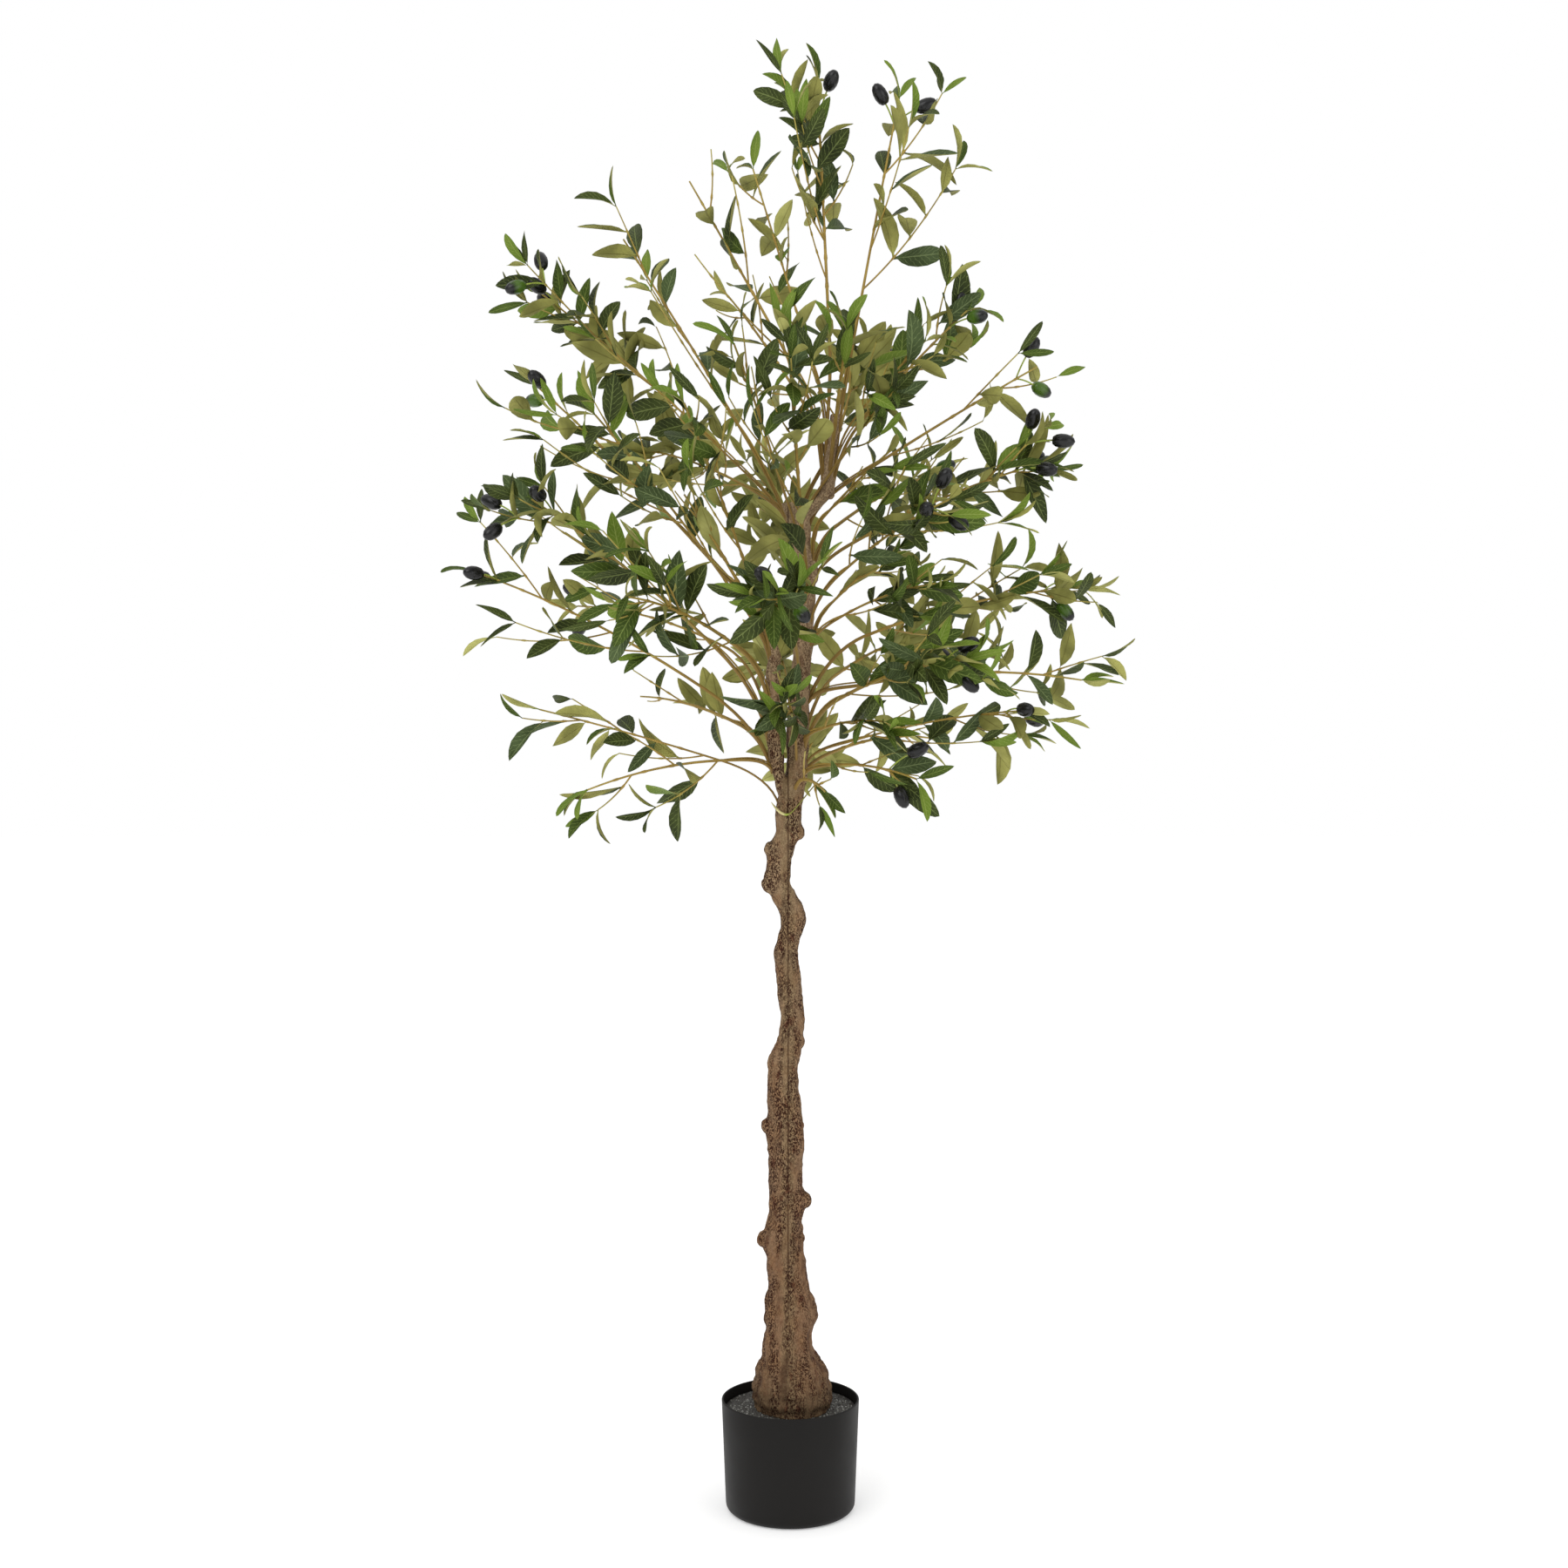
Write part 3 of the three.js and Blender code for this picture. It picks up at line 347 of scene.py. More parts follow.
@dataclass(frozen=True)
class MouldedOlive:
    """Solid polyethylene, injection moulded and waxed: a dark satin skin, greener towards the stalk."""

    name: str
    skin: str
    shoulder: str
    shoulder_reach: float
    shoulder_fade: float = 0.3
    roughness: float = 0.27
    gloss: float = 0.4

    def material(self) -> Material:
        """Builds the finish from the olive's UV map, where v is 0 at the stalk and 1 at the tip.

        Returns:
            The material.
        """
        material, add = blank_material(self.name)
        split = add("SeparateXYZ", {0: add("UVMap", uv_map=UV_NAME)})
        here = add("TexCoord").outputs["Object"]
        bloom = add("TexNoise", {"Vector": here, "Scale": 90.0, "Detail": 2.0})
        edge = add("Math", {0: bloom, 1: -0.35, 2: split.outputs[1]}, operation="MULTIPLY_ADD")
        reach = self.shoulder_reach
        share = add("MapRange", {0: edge, 1: reach - self.shoulder_fade, 2: reach, 3: 1.0, 4: 0.0})
        skin = add("Mix", {0: share, 6: linear(self.skin), 7: linear(self.shoulder)}, data_type="RGBA")
        surface(add, {"Base Color": skin, "Roughness": self.roughness, "Specular IOR Level": self.gloss})
        return material


@dataclass(frozen=True)
class MouldedBark:
    """Rigid foamed plastic, cast in a two-part mould and stained by hand: dull, with dark worm-like pits."""

    name: str = "cast_bark_plastic"
    low: str = "8a6c51"
    high: str = "9f8768"
    bough: str = "b59b7b"
    warm: str = "8a6645"
    band: str = "897958"
    foot: str = "6c5b43"
    stain: str = "32160c"
    rust: str = "5a2c1b"
    seam_place: float = -0.002
    seam_half: float = 0.0005
    seam_foot: float = 0.235
    seam_wander: float = 0.0016
    band_half: float = 0.006
    band_wander: float = 0.012
    pit_size: float = 0.0015
    crack_size: float = 0.0034
    patch_size: float = 0.016
    roughness: float = 0.8
    gloss: float = 0.12

    def material(self) -> Material:
        """Builds the finish from Object coordinates and the depth that the relief stored.

        The marks are worm-like lines under 1 mm wide and a few millimetres long, with dots among them.

        Returns:
            The material.
        """
        material, add = blank_material(self.name)
        place = add("TexCoord").outputs["Object"]
        split = add("SeparateXYZ", {0: place})
        height = split.outputs[2]
        long_way, flatter, streaked = (
            add("Mapping", {"Vector": place, "Scale": (wide, wide, high)})
            for wide, high in ((1.0, 0.55), (0.8, 1.15), (1.0, 0.24)))
        relief = add("Attribute", attribute_name="relief").outputs["Fac"]
        grain, wander, patch, crack, dot, blot, tint, rise = (
            add("TexNoise", {"Vector": vector, "Scale": 1 / size, "Detail": detail, "Roughness": 0.55,
                             "Distortion": warp})
            for vector, size, detail, warp in (
                (long_way, 0.0022, 3.0, 0.0), (place, 0.02, 3.0, 0.0), (streaked, self.patch_size, 3.0, 0.0),
                (flatter, self.crack_size, 1.0, 0.8), (long_way, self.pit_size, 1.0, 0.6),
                (long_way, 0.012, 4.0, 0.3), (place, 0.018, 2.0, 0.0), (place, 0.03, 2.0, 0.0)))
        off_seam = add("Math", {0: split, 1: self.seam_place}, operation="SUBTRACT")
        off_seam = add("Math", {0: tint, 1: self.seam_wander, 2: off_seam}, operation="MULTIPLY_ADD")
        off_seam = add("Math", {0: off_seam}, operation="ABSOLUTE")
        off_band = add("Math", {0: wander, 1: -self.band_wander, 2: off_seam}, operation="MULTIPLY_ADD")
        off_line = add("Math", {0: crack, 1: 0.5}, operation="SUBTRACT")
        off_line = add("Math", {0: off_line}, operation="ABSOLUTE")
        low_part = add("Math", {0: rise, 1: 0.06, 2: height}, operation="MULTIPLY_ADD")
        fewer = add("MapRange", {0: height, 1: 0.94, 2: 1.1, 3: 1.0, 4: 0.5})
        ramps = (
            ("band", off_band, self.band_half - 0.006, self.band_half - 0.002, 0.35, 0.0),
            ("patches", patch, 0.41, 0.53, 0.28, fewer),
            ("cracks", off_line, 0.024, 0.056, 1.0, 0.0),
            ("dots", dot, 0.49, 0.58, 0.0, 1.0),
            ("blots", blot, 0.57, 0.66, 0.0, 0.72),
            ("upper", height, 0.3, 0.95, 0.0, 1.0),
            ("boughs", height, 0.95, 1.12, 0.0, 1.0),
            ("warmth", tint, 0.45, 0.65, 0.0, 0.5),
            ("foot", low_part, 0.23, 0.165, 0.0, 0.75),
            ("specks", grain, 0.5, 0.3, 0.0, 0.3),
            ("hollows", relief, -0.5, -2.0, 0.0, 0.6),
            ("line", off_seam, self.seam_half, self.seam_half * 2.4, 0.7, 0.0),
            ("broken", dot, 0.42, 0.48, 0.0, 1.0))
        level = {name: add("MapRange", dict(enumerate(inputs))) for name, *inputs in ramps}
        seam = add("MapRange", {0: height, 1: self.seam_foot, 2: self.seam_foot + 0.03, 4: level["line"]})
        lines = add("Math", {0: level["cracks"], 1: level["broken"]}, operation="MULTIPLY")
        marks = add("Math", {0: lines, 1: level["dots"]}, operation="MAXIMUM")
        pits, stains = (add("Math", {0: value, 1: level["patches"]}, operation="MULTIPLY")
                        for value in (marks, level["blots"]))
        dark, rough = (add("Math", {0: value, 1: share}, operation="MULTIPLY")
                       for value, share in ((pits, 0.97), (grain, 0.5)))
        colour = linear(self.low)
        for share, over in (
                (level["upper"], self.high), (level["warmth"], self.warm), (level["boughs"], self.bough),
                (level["band"], self.band), (level["foot"], self.foot), (level["specks"], self.rust),
                (stains, self.rust), (dark, self.stain), (level["hollows"], self.stain), (seam, self.stain)):
            colour = add("Mix", {0: share, 6: colour, 7: linear(over)}, data_type="RGBA")
        depth = add("Math", {0: rough, 1: pits}, operation="SUBTRACT")
        bump = add("Bump", {"Strength": 1.0, "Distance": 1.0 * MM, "Height": depth})
        surface(add, {"Base Color": colour, "Roughness": self.roughness, "Normal": bump,
                      "Specular IOR Level": self.gloss})
        return material


@dataclass(frozen=True)
class MouldedPot:
    """Polypropylene, moulded in a fine-etched tool: near black, and matt because the etch traps light."""

    name: str = "etched_polypropylene"
    colour: str = "13110f"
    worn: str = "191615"
    roughness: float = 0.5
    gloss: float = 0.2
    etch_size: float = 0.0016

    def material(self) -> Material:
        """Builds the finish. The etch is drawn coarser than the real 0.2 mm, so that it shows.

        Returns:
            The material.
        """
        material, add = blank_material(self.name)
        place = add("TexCoord").outputs["Object"]
        etch, handling = (add("TexNoise", {"Vector": place, "Scale": scale, "Detail": detail})
                          for scale, detail in ((1 / self.etch_size, 1.0), (22.0, 4.0)))
        share, dull = (
            add("MapRange", {0: handling, 1: low, 2: high, 3: first, 4: last})
            for low, high, first, last in ((0.45, 0.75, 0.0, 0.5),
                                           (0.3, 0.7, self.roughness - 0.05, self.roughness + 0.07)))
        colour = add("Mix", {0: share, 6: linear(self.colour), 7: linear(self.worn)}, data_type="RGBA")
        bump = add("Bump", {"Strength": 0.12, "Distance": 0.2 * MM, "Height": etch})
        surface(add, {"Base Color": colour, "Roughness": dull, "Normal": bump,
                      "Specular IOR Level": self.gloss})
        return material


@dataclass(frozen=True)
class CrushedStone:
    """Crushed basalt in a thin glue wash: dull black chips, with a grey one here and there."""

    name: str
    dark: str
    grey: str
    grey_from: float
    roughness: float

    def material(self) -> Material:
        """Builds the finish from the share that the scatter gave each stone.

        Returns:
            The material.
        """
        material, add = blank_material(self.name)
        share = add("Attribute", attribute_name="share").outputs["Fac"]
        place = add("TexCoord").outputs["Object"]
        grain = add("TexNoise", {"Vector": place, "Scale": 420.0, "Detail": 3.0})
        grey = add("MapRange", {0: share, 1: self.grey_from, 2: 1.0})
        mottle = add("Math", {0: grey, 1: grain}, operation="MULTIPLY")
        colour = add("Mix", {0: mottle, 6: linear(self.dark), 7: linear(self.grey)}, data_type="RGBA")
        bump = add("Bump", {"Strength": 0.4, "Distance": 0.4 * MM, "Height": grain})
        surface(add, {"Base Color": colour, "Roughness": self.roughness, "Normal": bump})
        return material


UPPER_CLOTHS = {
    Tone.DARK: PrintedCloth("leaf_cloth_dark", "3f4a1c", "28310f", "8e9c5a", 0.52),
    Tone.BLUISH: PrintedCloth("leaf_cloth_bluish", "4d5d36", "364320", "92a26c", 0.5),
    Tone.MIDDLE: PrintedCloth("leaf_cloth_middle", "475a1a", "394a15", "98aa58", 0.5),
    Tone.YOUNG: PrintedCloth("leaf_cloth_young", "6f852d", "5d7523", "adb964", 0.45),
}
UNDER_PRINT = {"roughness": 0.66, "rib_share": 0.055, "side_share": 0.3}
UNDER_CLOTHS = {
    Tone.DARK: PrintedCloth("leaf_underside_olive", "adab5f", "858447", "6c6733", 0.62, **UNDER_PRINT),
    Tone.YOUNG: PrintedCloth("leaf_underside_pale", "bebd72", "9a9a56", "7a763f", 0.6, **UNDER_PRINT),
}
TWIG_WIRE = CoatedWire("twig_wire_coat", "7e622e", "a88d42", "b2a753")
STALK_WIRE = CoatedWire("stalk_wire_coat", "7d7434", "a2b64c", "ddd298")
OLIVE_SKINS = {
    Ripeness.BLACK: MouldedOlive("olive_black", "0f0f10", "191717", 0.1),
    Ripeness.TURNING: MouldedOlive("olive_turning", "151515", "47651c", 0.62),
}


def mesh_of(name: str, points: np.ndarray, faces: Iterable[Sequence[int]],
            edges: Iterable[Sequence[int]] = ()) -> Mesh:
    """Makes a mesh from points and faces.

    Args:
        name: The mesh's name.
        points: The vertices, in metres.
        faces: The corners of each face, anticlockwise from outside.
        edges: Edges that belong to no face.

    Returns:
        The mesh, shaded smooth.
    """
    mesh = bpy.data.meshes.new(name)
    mesh.from_pydata(points.tolist(), [list(edge) for edge in edges], [list(face) for face in faces])
    mesh.shade_smooth()
    return mesh


def map_uv(mesh: Mesh, places: Sequence[Pair]) -> None:
    """Gives a mesh its UV map, from where each of its vertices lies on the map."""
    corners = [places[loop.vertex_index] for loop in mesh.loops]
    mesh.uv_layers.new(name=UV_NAME).uv.foreach_set("vector", np.array(corners).ravel())


def joined_rows(rows: Sequence[Sequence[int]]) -> list[list[int]]:
    """Joins rounds of points by faces, each round to the next.

    Args:
        rows: The numbers of each round's points, where a pole repeats its one point.

    Returns:
        The corners of each face.
    """
    faces = []
    for low, high in zip(rows, rows[1:]):
        for side in range(len(low)):
            after = (side + 1) % len(low)
            faces.append(list(dict.fromkeys([low[side], low[after], high[after], high[side]])))
    return faces


def turned(profile: Iterable[Pair], sides: int) -> Shape:
    """Turns a profile about the upright axis.

    Args:
        profile: Radius and height of each point, from the axis and back to it.
        sides: How many flats the round has.

    Returns:
        The points and faces of the closed shape.
    """
    points: list[Triple] = []
    rows: list[list[int]] = []
    for radius, height in profile:
        angles = [math.tau * side / sides for side in range(sides if radius > 1e-9 else 1)]
        rows.append([len(points) + side % len(angles) for side in range(sides)])
        points += [(radius * math.cos(angle), radius * math.sin(angle), height) for angle in angles]
    return np.array(points), joined_rows(rows)


def merged(shapes: Iterable[Shape]) -> Shape:
    """Puts shapes together as one.

    Args:
        shapes: The points and faces of each.

    Returns:
        All points and faces.
    """
    points: list[np.ndarray] = []
    faces: list[list[int]] = []
    first = 0
    for spots, corners in shapes:
        faces += [[first + corner for corner in face] for face in corners]
        points.append(spots)
        first += len(spots)
    return np.concatenate(points), faces


def set_attributes(mesh: Mesh, values: dict[str, np.ndarray], domain: str = "POINT") -> None:
    """Stores values for each point or face of a mesh.

    Args:
        mesh: The mesh.
        values: Each attribute's values by its name, in the order of the elements. Their type sets its own.
        domain: POINT or FACE.
    """
    kinds = {"b": "BOOLEAN", "i": "INT", "f": "FLOAT"}
    for name, column in values.items():
        kind, key = ("FLOAT_VECTOR", "vector") if column.ndim > 1 else (kinds[column.dtype.kind], "value")
        mesh.attributes.new(name, kind, domain).data.foreach_set(key, column.ravel())


def new_object(name: str, data: bpy.types.ID) -> Object:
    """Puts a mesh, a light or a camera into the scene as an object at the origin.

    Args:
        name: The object's name.
        data: What it shows.

    Returns:
        The object.
    """
    made = bpy.data.objects.new(name, data)
    bpy.context.scene.collection.objects.link(made)
    return made


def evaluated_mesh(host: Object, spare: Sequence[str] = ()) -> Mesh:
    """Turns an object with modifiers to a plain mesh, and removes the object.

    Args:
        host: The object with its modifiers.
        spare: Attributes that the result doesn't need.

    Returns:
        The finished mesh.
    """
    graph = bpy.context.evaluated_depsgraph_get()
    mesh = bpy.data.meshes.new_from_object(host.evaluated_get(graph), preserve_all_data_layers=True,
                                           depsgraph=graph)
    mesh.name = host.name
    for name in spare:
        if name in mesh.attributes:
            mesh.attributes.remove(mesh.attributes[name])
    bpy.data.objects.remove(host)
    return mesh


def grown_by(tree: NodeTree, name: str, mesh: Mesh, values: Values, spare: Sequence[str] = ()) -> Mesh:
    """Runs a Geometry Nodes tree on a mesh.

    Args:
        tree: The tree.
        name: The result's name.
        mesh: What the tree starts from.
        values: Values by the names of the tree's inputs.
        spare: Attributes that the result doesn't need.

    Returns:
        The result as a plain mesh.
    """
    host = new_object(name, mesh)
    modifier = host.modifiers.new(tree.name, "NODES")
    modifier.node_group = tree
    sockets = {item.name: item.identifier for item in tree.interface.items_tree if item.in_out == "INPUT"}
    for key, value in values.items():
        modifier[sockets[key]] = value
    return evaluated_mesh(host, spare)


def new_tree(name: str, values: Values) -> tuple[NodeTree, AddNode, Node]:
    """Starts a Geometry Nodes tree.

    Args:
        name: The tree's name.
        values: What its named inputs will be given, which sets their types.

    Returns:
        The tree, add_node for it, and its input node.
    """
    tree = bpy.data.node_groups.new(name, "GeometryNodeTree")
    for way in ("INPUT", "OUTPUT"):
        tree.interface.new_socket("Geometry", in_out=way, socket_type="NodeSocketGeometry")
    for key, value in values.items():
        tree.interface.new_socket(key, in_out="INPUT", socket_type=SOCKET_KINDS[type(value)])
    add = partial(add_node, tree)
    return tree, add, add("NodeGroupInput")


def end_tree(add: AddNode, shape: Node, coats: Iterable[Inputs]) -> None:
    """Ends a Geometry Nodes tree: its instances become real and take their materials.

    Args:
        add: add_node for the tree.
        shape: The node that gives the geometry.
        coats: The material of each coat, with the selection that it covers unless that is all.
    """
    made = add("GeometryNodeRealizeInstances", {0: shape})
    for coat in coats:
        made = add("GeometryNodeSetMaterial", {"Geometry": made, **coat})
    add("NodeGroupOutput", {0: made})


def finished_piece(name: str, mesh: Mesh, slot: Slot, nodes: Sequence[str] = ()) -> Object:
    """Adds a finished mesh to the dressed tree.

    Args:
        name: The piece's name.
        mesh: Its mesh, in place.
        slot: The record's slot that it takes its finish from.
        nodes: The solids that it stands for.

    Returns:
        The piece.
    """
    piece = new_object(name, mesh)
    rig.ride(piece, BODY)
    if nodes:
        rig.replaces(piece, *nodes)
    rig.slot(piece, slot.value)
    LOG.info("%s: %d faces, replaces %d", name, len(mesh.polygons), len(nodes))
    return piece


def through(values: np.ndarray, places: np.ndarray, closed: bool) -> np.ndarray:
    """Reads a row of values between its entries, by a Catmull-Rom curve.

    Args:
        values: The entries, along the first axis.
        places: Where to read, counted in entries.
        closed: Whether the row runs on from its last entry to its first.

    Returns:
        One value for each place.
    """
    count = len(values)
    at = np.floor(places).astype(int)
    if not closed:
        at = np.minimum(at, count - 2)
    t = (places - at).reshape(-1, *([1] * (values.ndim - 1)))
    index = [at + step for step in (-1, 0, 1, 2)]
    a, b, c, d = (values[i % count if closed else np.clip(i, 0, count - 1)] for i in index)
    return 0.5 * (2 * b + (c - a) * t + (2 * a - 5 * b + 4 * c - d) * t**2 + (3 * b - a - 3 * c + d) * t**3)


@dataclass
class Limb:
    """A moulded limb, read from the rings of its solid."""

    node: str
    sides: int
    sunk: float = 0.022
    root_share: float = 1.0
    gap_limits: Pair = (0.5, 1.6)
    rings: np.ndarray = field(init=False)

    def __post_init__(self) -> None:
        """Finds the whole rings, and carries the limb on into the one that bears it."""
        points = np.array([vertex.co for vertex in frame["nodes"][self.node].data.vertices])
        levels: dict[int, set[Triple]] = {}
        for point in points.round(6):
            levels.setdefault(round(point[2] * 1e5), set()).add(tuple(point))
        rings = [np.array(sorted(found)) for _, found in sorted(levels.items()) if len(found) == self.sides]
        whole = [ring for ring in map(self.in_turn, rings) if ring is not None]
        if len(whole) < len(levels):
            start, after = whole[0].mean(axis=0), whole[1].mean(axis=0)
            way = (start - after) / (after[2] - start[2])
            whole.insert(0, start + way * self.sunk + (whole[0] - start) * self.root_share)
        self.rings = np.stack(whole)

    def in_turn(self, ring: np.ndarray) -> np.ndarray | None:
        """Sorts a ring's points by bearing.

        Args:
            ring: The points.

        Returns:
            The sorted points, or None where the ring is cut.
        """
        off = ring - ring.mean(axis=0)
        bearings = np.arctan2(off[:, 1], off[:, 0])
        order = np.argsort(bearings)
        gaps = np.diff(np.append(bearings[order], bearings[order[0]] + math.tau))
        least, most = (share * math.tau / self.sides for share in self.gap_limits)
        return ring[order] if gaps.min() > least and gaps.max() < most else None

    @property
    def line(self) -> tuple[np.ndarray, np.ndarray]:
        """The centres and the mean radii of the limb's rings, in millimetres."""
        centres = self.rings.mean(axis=1)
        return centres / MM, np.linalg.norm(self.rings - centres[:, None], axis=2).mean(axis=1) / MM

    def at(self, height: float) -> tuple[Vector, float]:
        """Reads the limb at a height.

        Args:
            height: The height, in millimetres.

        Returns:
            The centre and radius there, in millimetres.
        """
        centres, radii = self.line
        centre = np.array([np.interp(height, centres[:, 2], centres[:, axis]) for axis in range(3)])
        return centre, float(np.interp(height, centres[:, 2], radii))

    @property
    def bulges(self) -> np.ndarray:
        """How far each point stands out from the rings two above and two below it.

        Returns:
            One distance for each point of each ring, in metres.
        """
        reach = np.linalg.norm(self.rings - self.rings.mean(axis=1, keepdims=True), axis=2)
        padded = np.pad(reach, ((2, 2), (0, 0)), mode="edge")
        return reach - (padded[:-4] + padded[4:]) / 2

    def smooth_skin(self, step: float, sides: int, least: float, left: float) -> Shape:
        """The limb's skin through its rings, much finer and closed at both ends.

        Args:
            step: The distance between the finer rings, in metres.
            sides: The points of each finer ring.
            least: How far a knot stands out, in metres.
            left: The share of a knot's height that stays, as a round of its own makes the rest.

        Returns:
            The points, in metres, and the faces.
        """
        count = len(self.rings)
        centres = self.rings.mean(axis=1, keepdims=True)
        length = float(np.linalg.norm(np.diff(centres[:, 0], axis=0), axis=1).sum())
        bulge = self.bulges
        reach = np.linalg.norm(self.rings - centres, axis=2)
        kept = 1 - np.where(bulge > least, (1 - left) * bulge, 0.0) / reach
        rings = centres + (self.rings - centres) * kept[..., None]
        along = through(rings, np.linspace(0, count - 1, max(8, round(length / step))), closed=False)
        around = through(along.transpose(1, 0, 2), np.arange(sides) * self.sides / sides, closed=True)
        skin = around.transpose(1, 0, 2)
        points = np.concatenate([skin.reshape(-1, 3), [skin[0].mean(axis=0)], [skin[-1].mean(axis=0)]])
        rows = np.arange(len(points) - 2).reshape(-1, sides).tolist()
        return points, joined_rows([[len(points) - 2] * sides, *rows, [len(points) - 1] * sides])


LIMBS = {limb.node: limb for limb in (
    Limb("trunk", 12), Limb("left_bough", 9, 0.03, 0.4), Limb("right_bough", 9), Limb("stub_bough", 9))}


@dataclass
class BarkSkin:
    """The trunk and boughs as one casting, with the bark's relief, the knots and the mould's seam.

    Each swell of the foot is a bearing, a height, how far it rises in millimetres (below nought it sinks),
    and how far it reaches in degrees to each side and in millimetres up and down.
    """

    finish: MouldedBark = field(default_factory=MouldedBark)
    voxel: float = 0.00145
    ring_step: float = 0.004
    sides: int = 60
    grain_depth: float = 0.0007
    grain_width: float = 0.0045
    grain_stretch: float = 0.22
    lump_height: float = 0.0014
    lump_size: float = 0.022
    pit_depth: float = 0.0007
    pit_size: float = 0.0075
    fold_height: float = 0.0018
    fold_width: float = 0.017
    fold_foot: float = 0.16
    fold_top: float = 0.36
    seam_height: float = 0.0005
    seam_core: float = 0.0008
    seam_edge: float = 0.0022
    knot_least: float = 0.0022
    knot_size: float = 0.0092
    knot_length: float = 1.1
    knot_sunk: float = 0.85
    knot_left: float = 0.35
    knots_from: float = 0.27
    swells: tuple[tuple[float, float, float, float, float], ...] = (
        (0, 239, 2, 40, 20), (352, 208, -9, 52, 24), (352, 150, 6, 45, 30), (182, 222, -3.5, 40, 9),
        (188, 156, 3.5, 45, 26), (262, 145, 5, 62, 28), (228, 225, 3, 17, 60), (306, 228, 2.5, 15, 50),
        (60, 160, 6, 45, 24), (120, 150, 6, 40, 26), (95, 215, -4, 30, 30))

    def swollen(self, limb: Limb, skin: np.ndarray) -> np.ndarray:
        """Raises the lobes of the foot and sinks the waists between them.

        Args:
            limb: The limb that has them.
            skin: The points of its skin, in metres.

        Returns:
            The points where they are now, in metres.
        """
        centres, _ = limb.line
        spots = skin / MM
        middle = np.stack([np.interp(spots[:, 2], centres[:, 2], centres[:, axis]) for axis in (0, 1)],
                          axis=1)
        off = spots[:, :2] - middle
        bearings = np.degrees(np.arctan2(off[:, 1], off[:, 0]))
        rise = np.zeros(len(spots))
        for bearing, height, most, spread, reach in self.swells:
            turn = (bearings - bearing + 180) % 360 - 180
            near = 1 - (turn / spread) ** 2 - ((spots[:, 2] - height) / reach) ** 2
            rise += most * np.clip(near, 0, 1) ** 0.75
        out = off / np.maximum(np.linalg.norm(off, axis=1), 1)[:, None]
        return skin + np.pad(out * rise[:, None] * MM, ((0, 0), (0, 1)))

    def knots(self, limb: Limb) -> list[Shape]:
        """Rounds for the knots, where a ring stands out from the rings above and below it.

        Args:
            limb: The limb that has them.

        Returns:
            The points, in metres, and the faces of each.
        """
        bulge = limb.bulges
        tilts = [math.pi * step / 8 for step in range(9)]
        ball, faces = turned([(math.sin(tilt), -self.knot_length * math.cos(tilt)) for tilt in tilts], 12)
        found = []
        for row in range(2, len(bulge) - 2):
            for side in range(limb.sides):
                around = [bulge[row + up, (side + turn) % limb.sides]
                          for up in (-1, 0, 1) for turn in (-1, 0, 1)]
                spot = limb.rings[row, side]
                if spot[2] >= self.knots_from and bulge[row, side] >= max(self.knot_least, *around):
                    out = unit(spot - limb.rings[row].mean(axis=0))
                    found.append((spot + (ball - out * self.knot_sunk) * self.knot_size, faces))
        return found

    def relief_tree(self, values: Values) -> NodeTree:
        """Builds the tree that raises and sinks the skin, and stores how deep each point lies in mm.

        Args:
            values: What its named inputs will be given.

        Returns:
            The tree.
        """
        tree, add, given = new_tree("bark_relief", values)
        size = given.outputs
        place = add("GeometryNodeInputPosition")
        stretch = add("CombineXYZ", {0: 1.0, 1: 1.0, 2: size["Grain Stretch"]})
        long_way = add("VectorMath", {0: place, 1: stretch}, operation="MULTIPLY")
        split = add("SeparateXYZ", {0: place})
        folded = add("MapRange",
                     {0: split.outputs[2], 1: size["Fold Foot"], 2: size["Fold Top"], 3: 1.0, 4: 0.0})
        fold_height = add("Math", {0: folded, 1: size["Fold Height"]}, operation="MULTIPLY")
        grain, lumps, folds, pits = (
            add(kind, {"Vector": vector, "Detail": detail, "Roughness": roughness,
                       "Scale": add("Math", {0: 1.0, 1: size[name]}, operation="DIVIDE")})
            for kind, name, vector, detail, roughness in (
                ("TexNoise", "Grain Width", long_way, 4.0, 0.6),
                ("TexNoise", "Lump Size", place, 2.0, 0.6),
                ("TexNoise", "Fold Width", long_way, 1.0, 0.6),
                ("TexVoronoi", "Pit Size", long_way, 0.0, 0.5)))
        off = add("Math", {0: split, 1: size["Seam Place"]}, operation="SUBTRACT")
        gap = add("Math", {0: off}, operation="ABSOLUTE")
        total: Node | None = None
        for value, low, high, first, last, height in (
                (grain, 0.25, 0.75, -1.0, 1.0, size["Grain Depth"]),
                (lumps, 0.25, 0.75, -1.0, 1.0, size["Lump Height"]),
                (folds, 0.25, 0.75, -1.0, 1.0, fold_height),
                (pits, 0.05, 0.4, -1.0, 0.0, size["Pit Depth"]),
                (gap, size["Seam Core"], size["Seam Edge"], 1.0, 0.0, size["Seam Height"])):
            level = add("MapRange", {0: value, 1: low, 2: high, 3: first, 4: last})
            term = add("Math", {0: level, 1: height}, operation="MULTIPLY")
            total = add("Math", {0: total, 1: term}, operation="ADD") if total else term
        depth = add("Math", {0: total, 1: 1 / MM}, operation="MULTIPLY")
        stored = add("GeometryNodeStoreNamedAttribute", {"Geometry": given, "Name": "relief", "Value": depth},
                     data_type="FLOAT", domain="POINT")
        offset = add("VectorMath", {0: add("GeometryNodeInputNormal"), "Scale": total}, operation="SCALE")
        moved = add("GeometryNodeSetPosition", {"Geometry": stored, "Offset": offset})
        end_tree(add, moved, [{"Material": size["Bark"]}])
        return tree

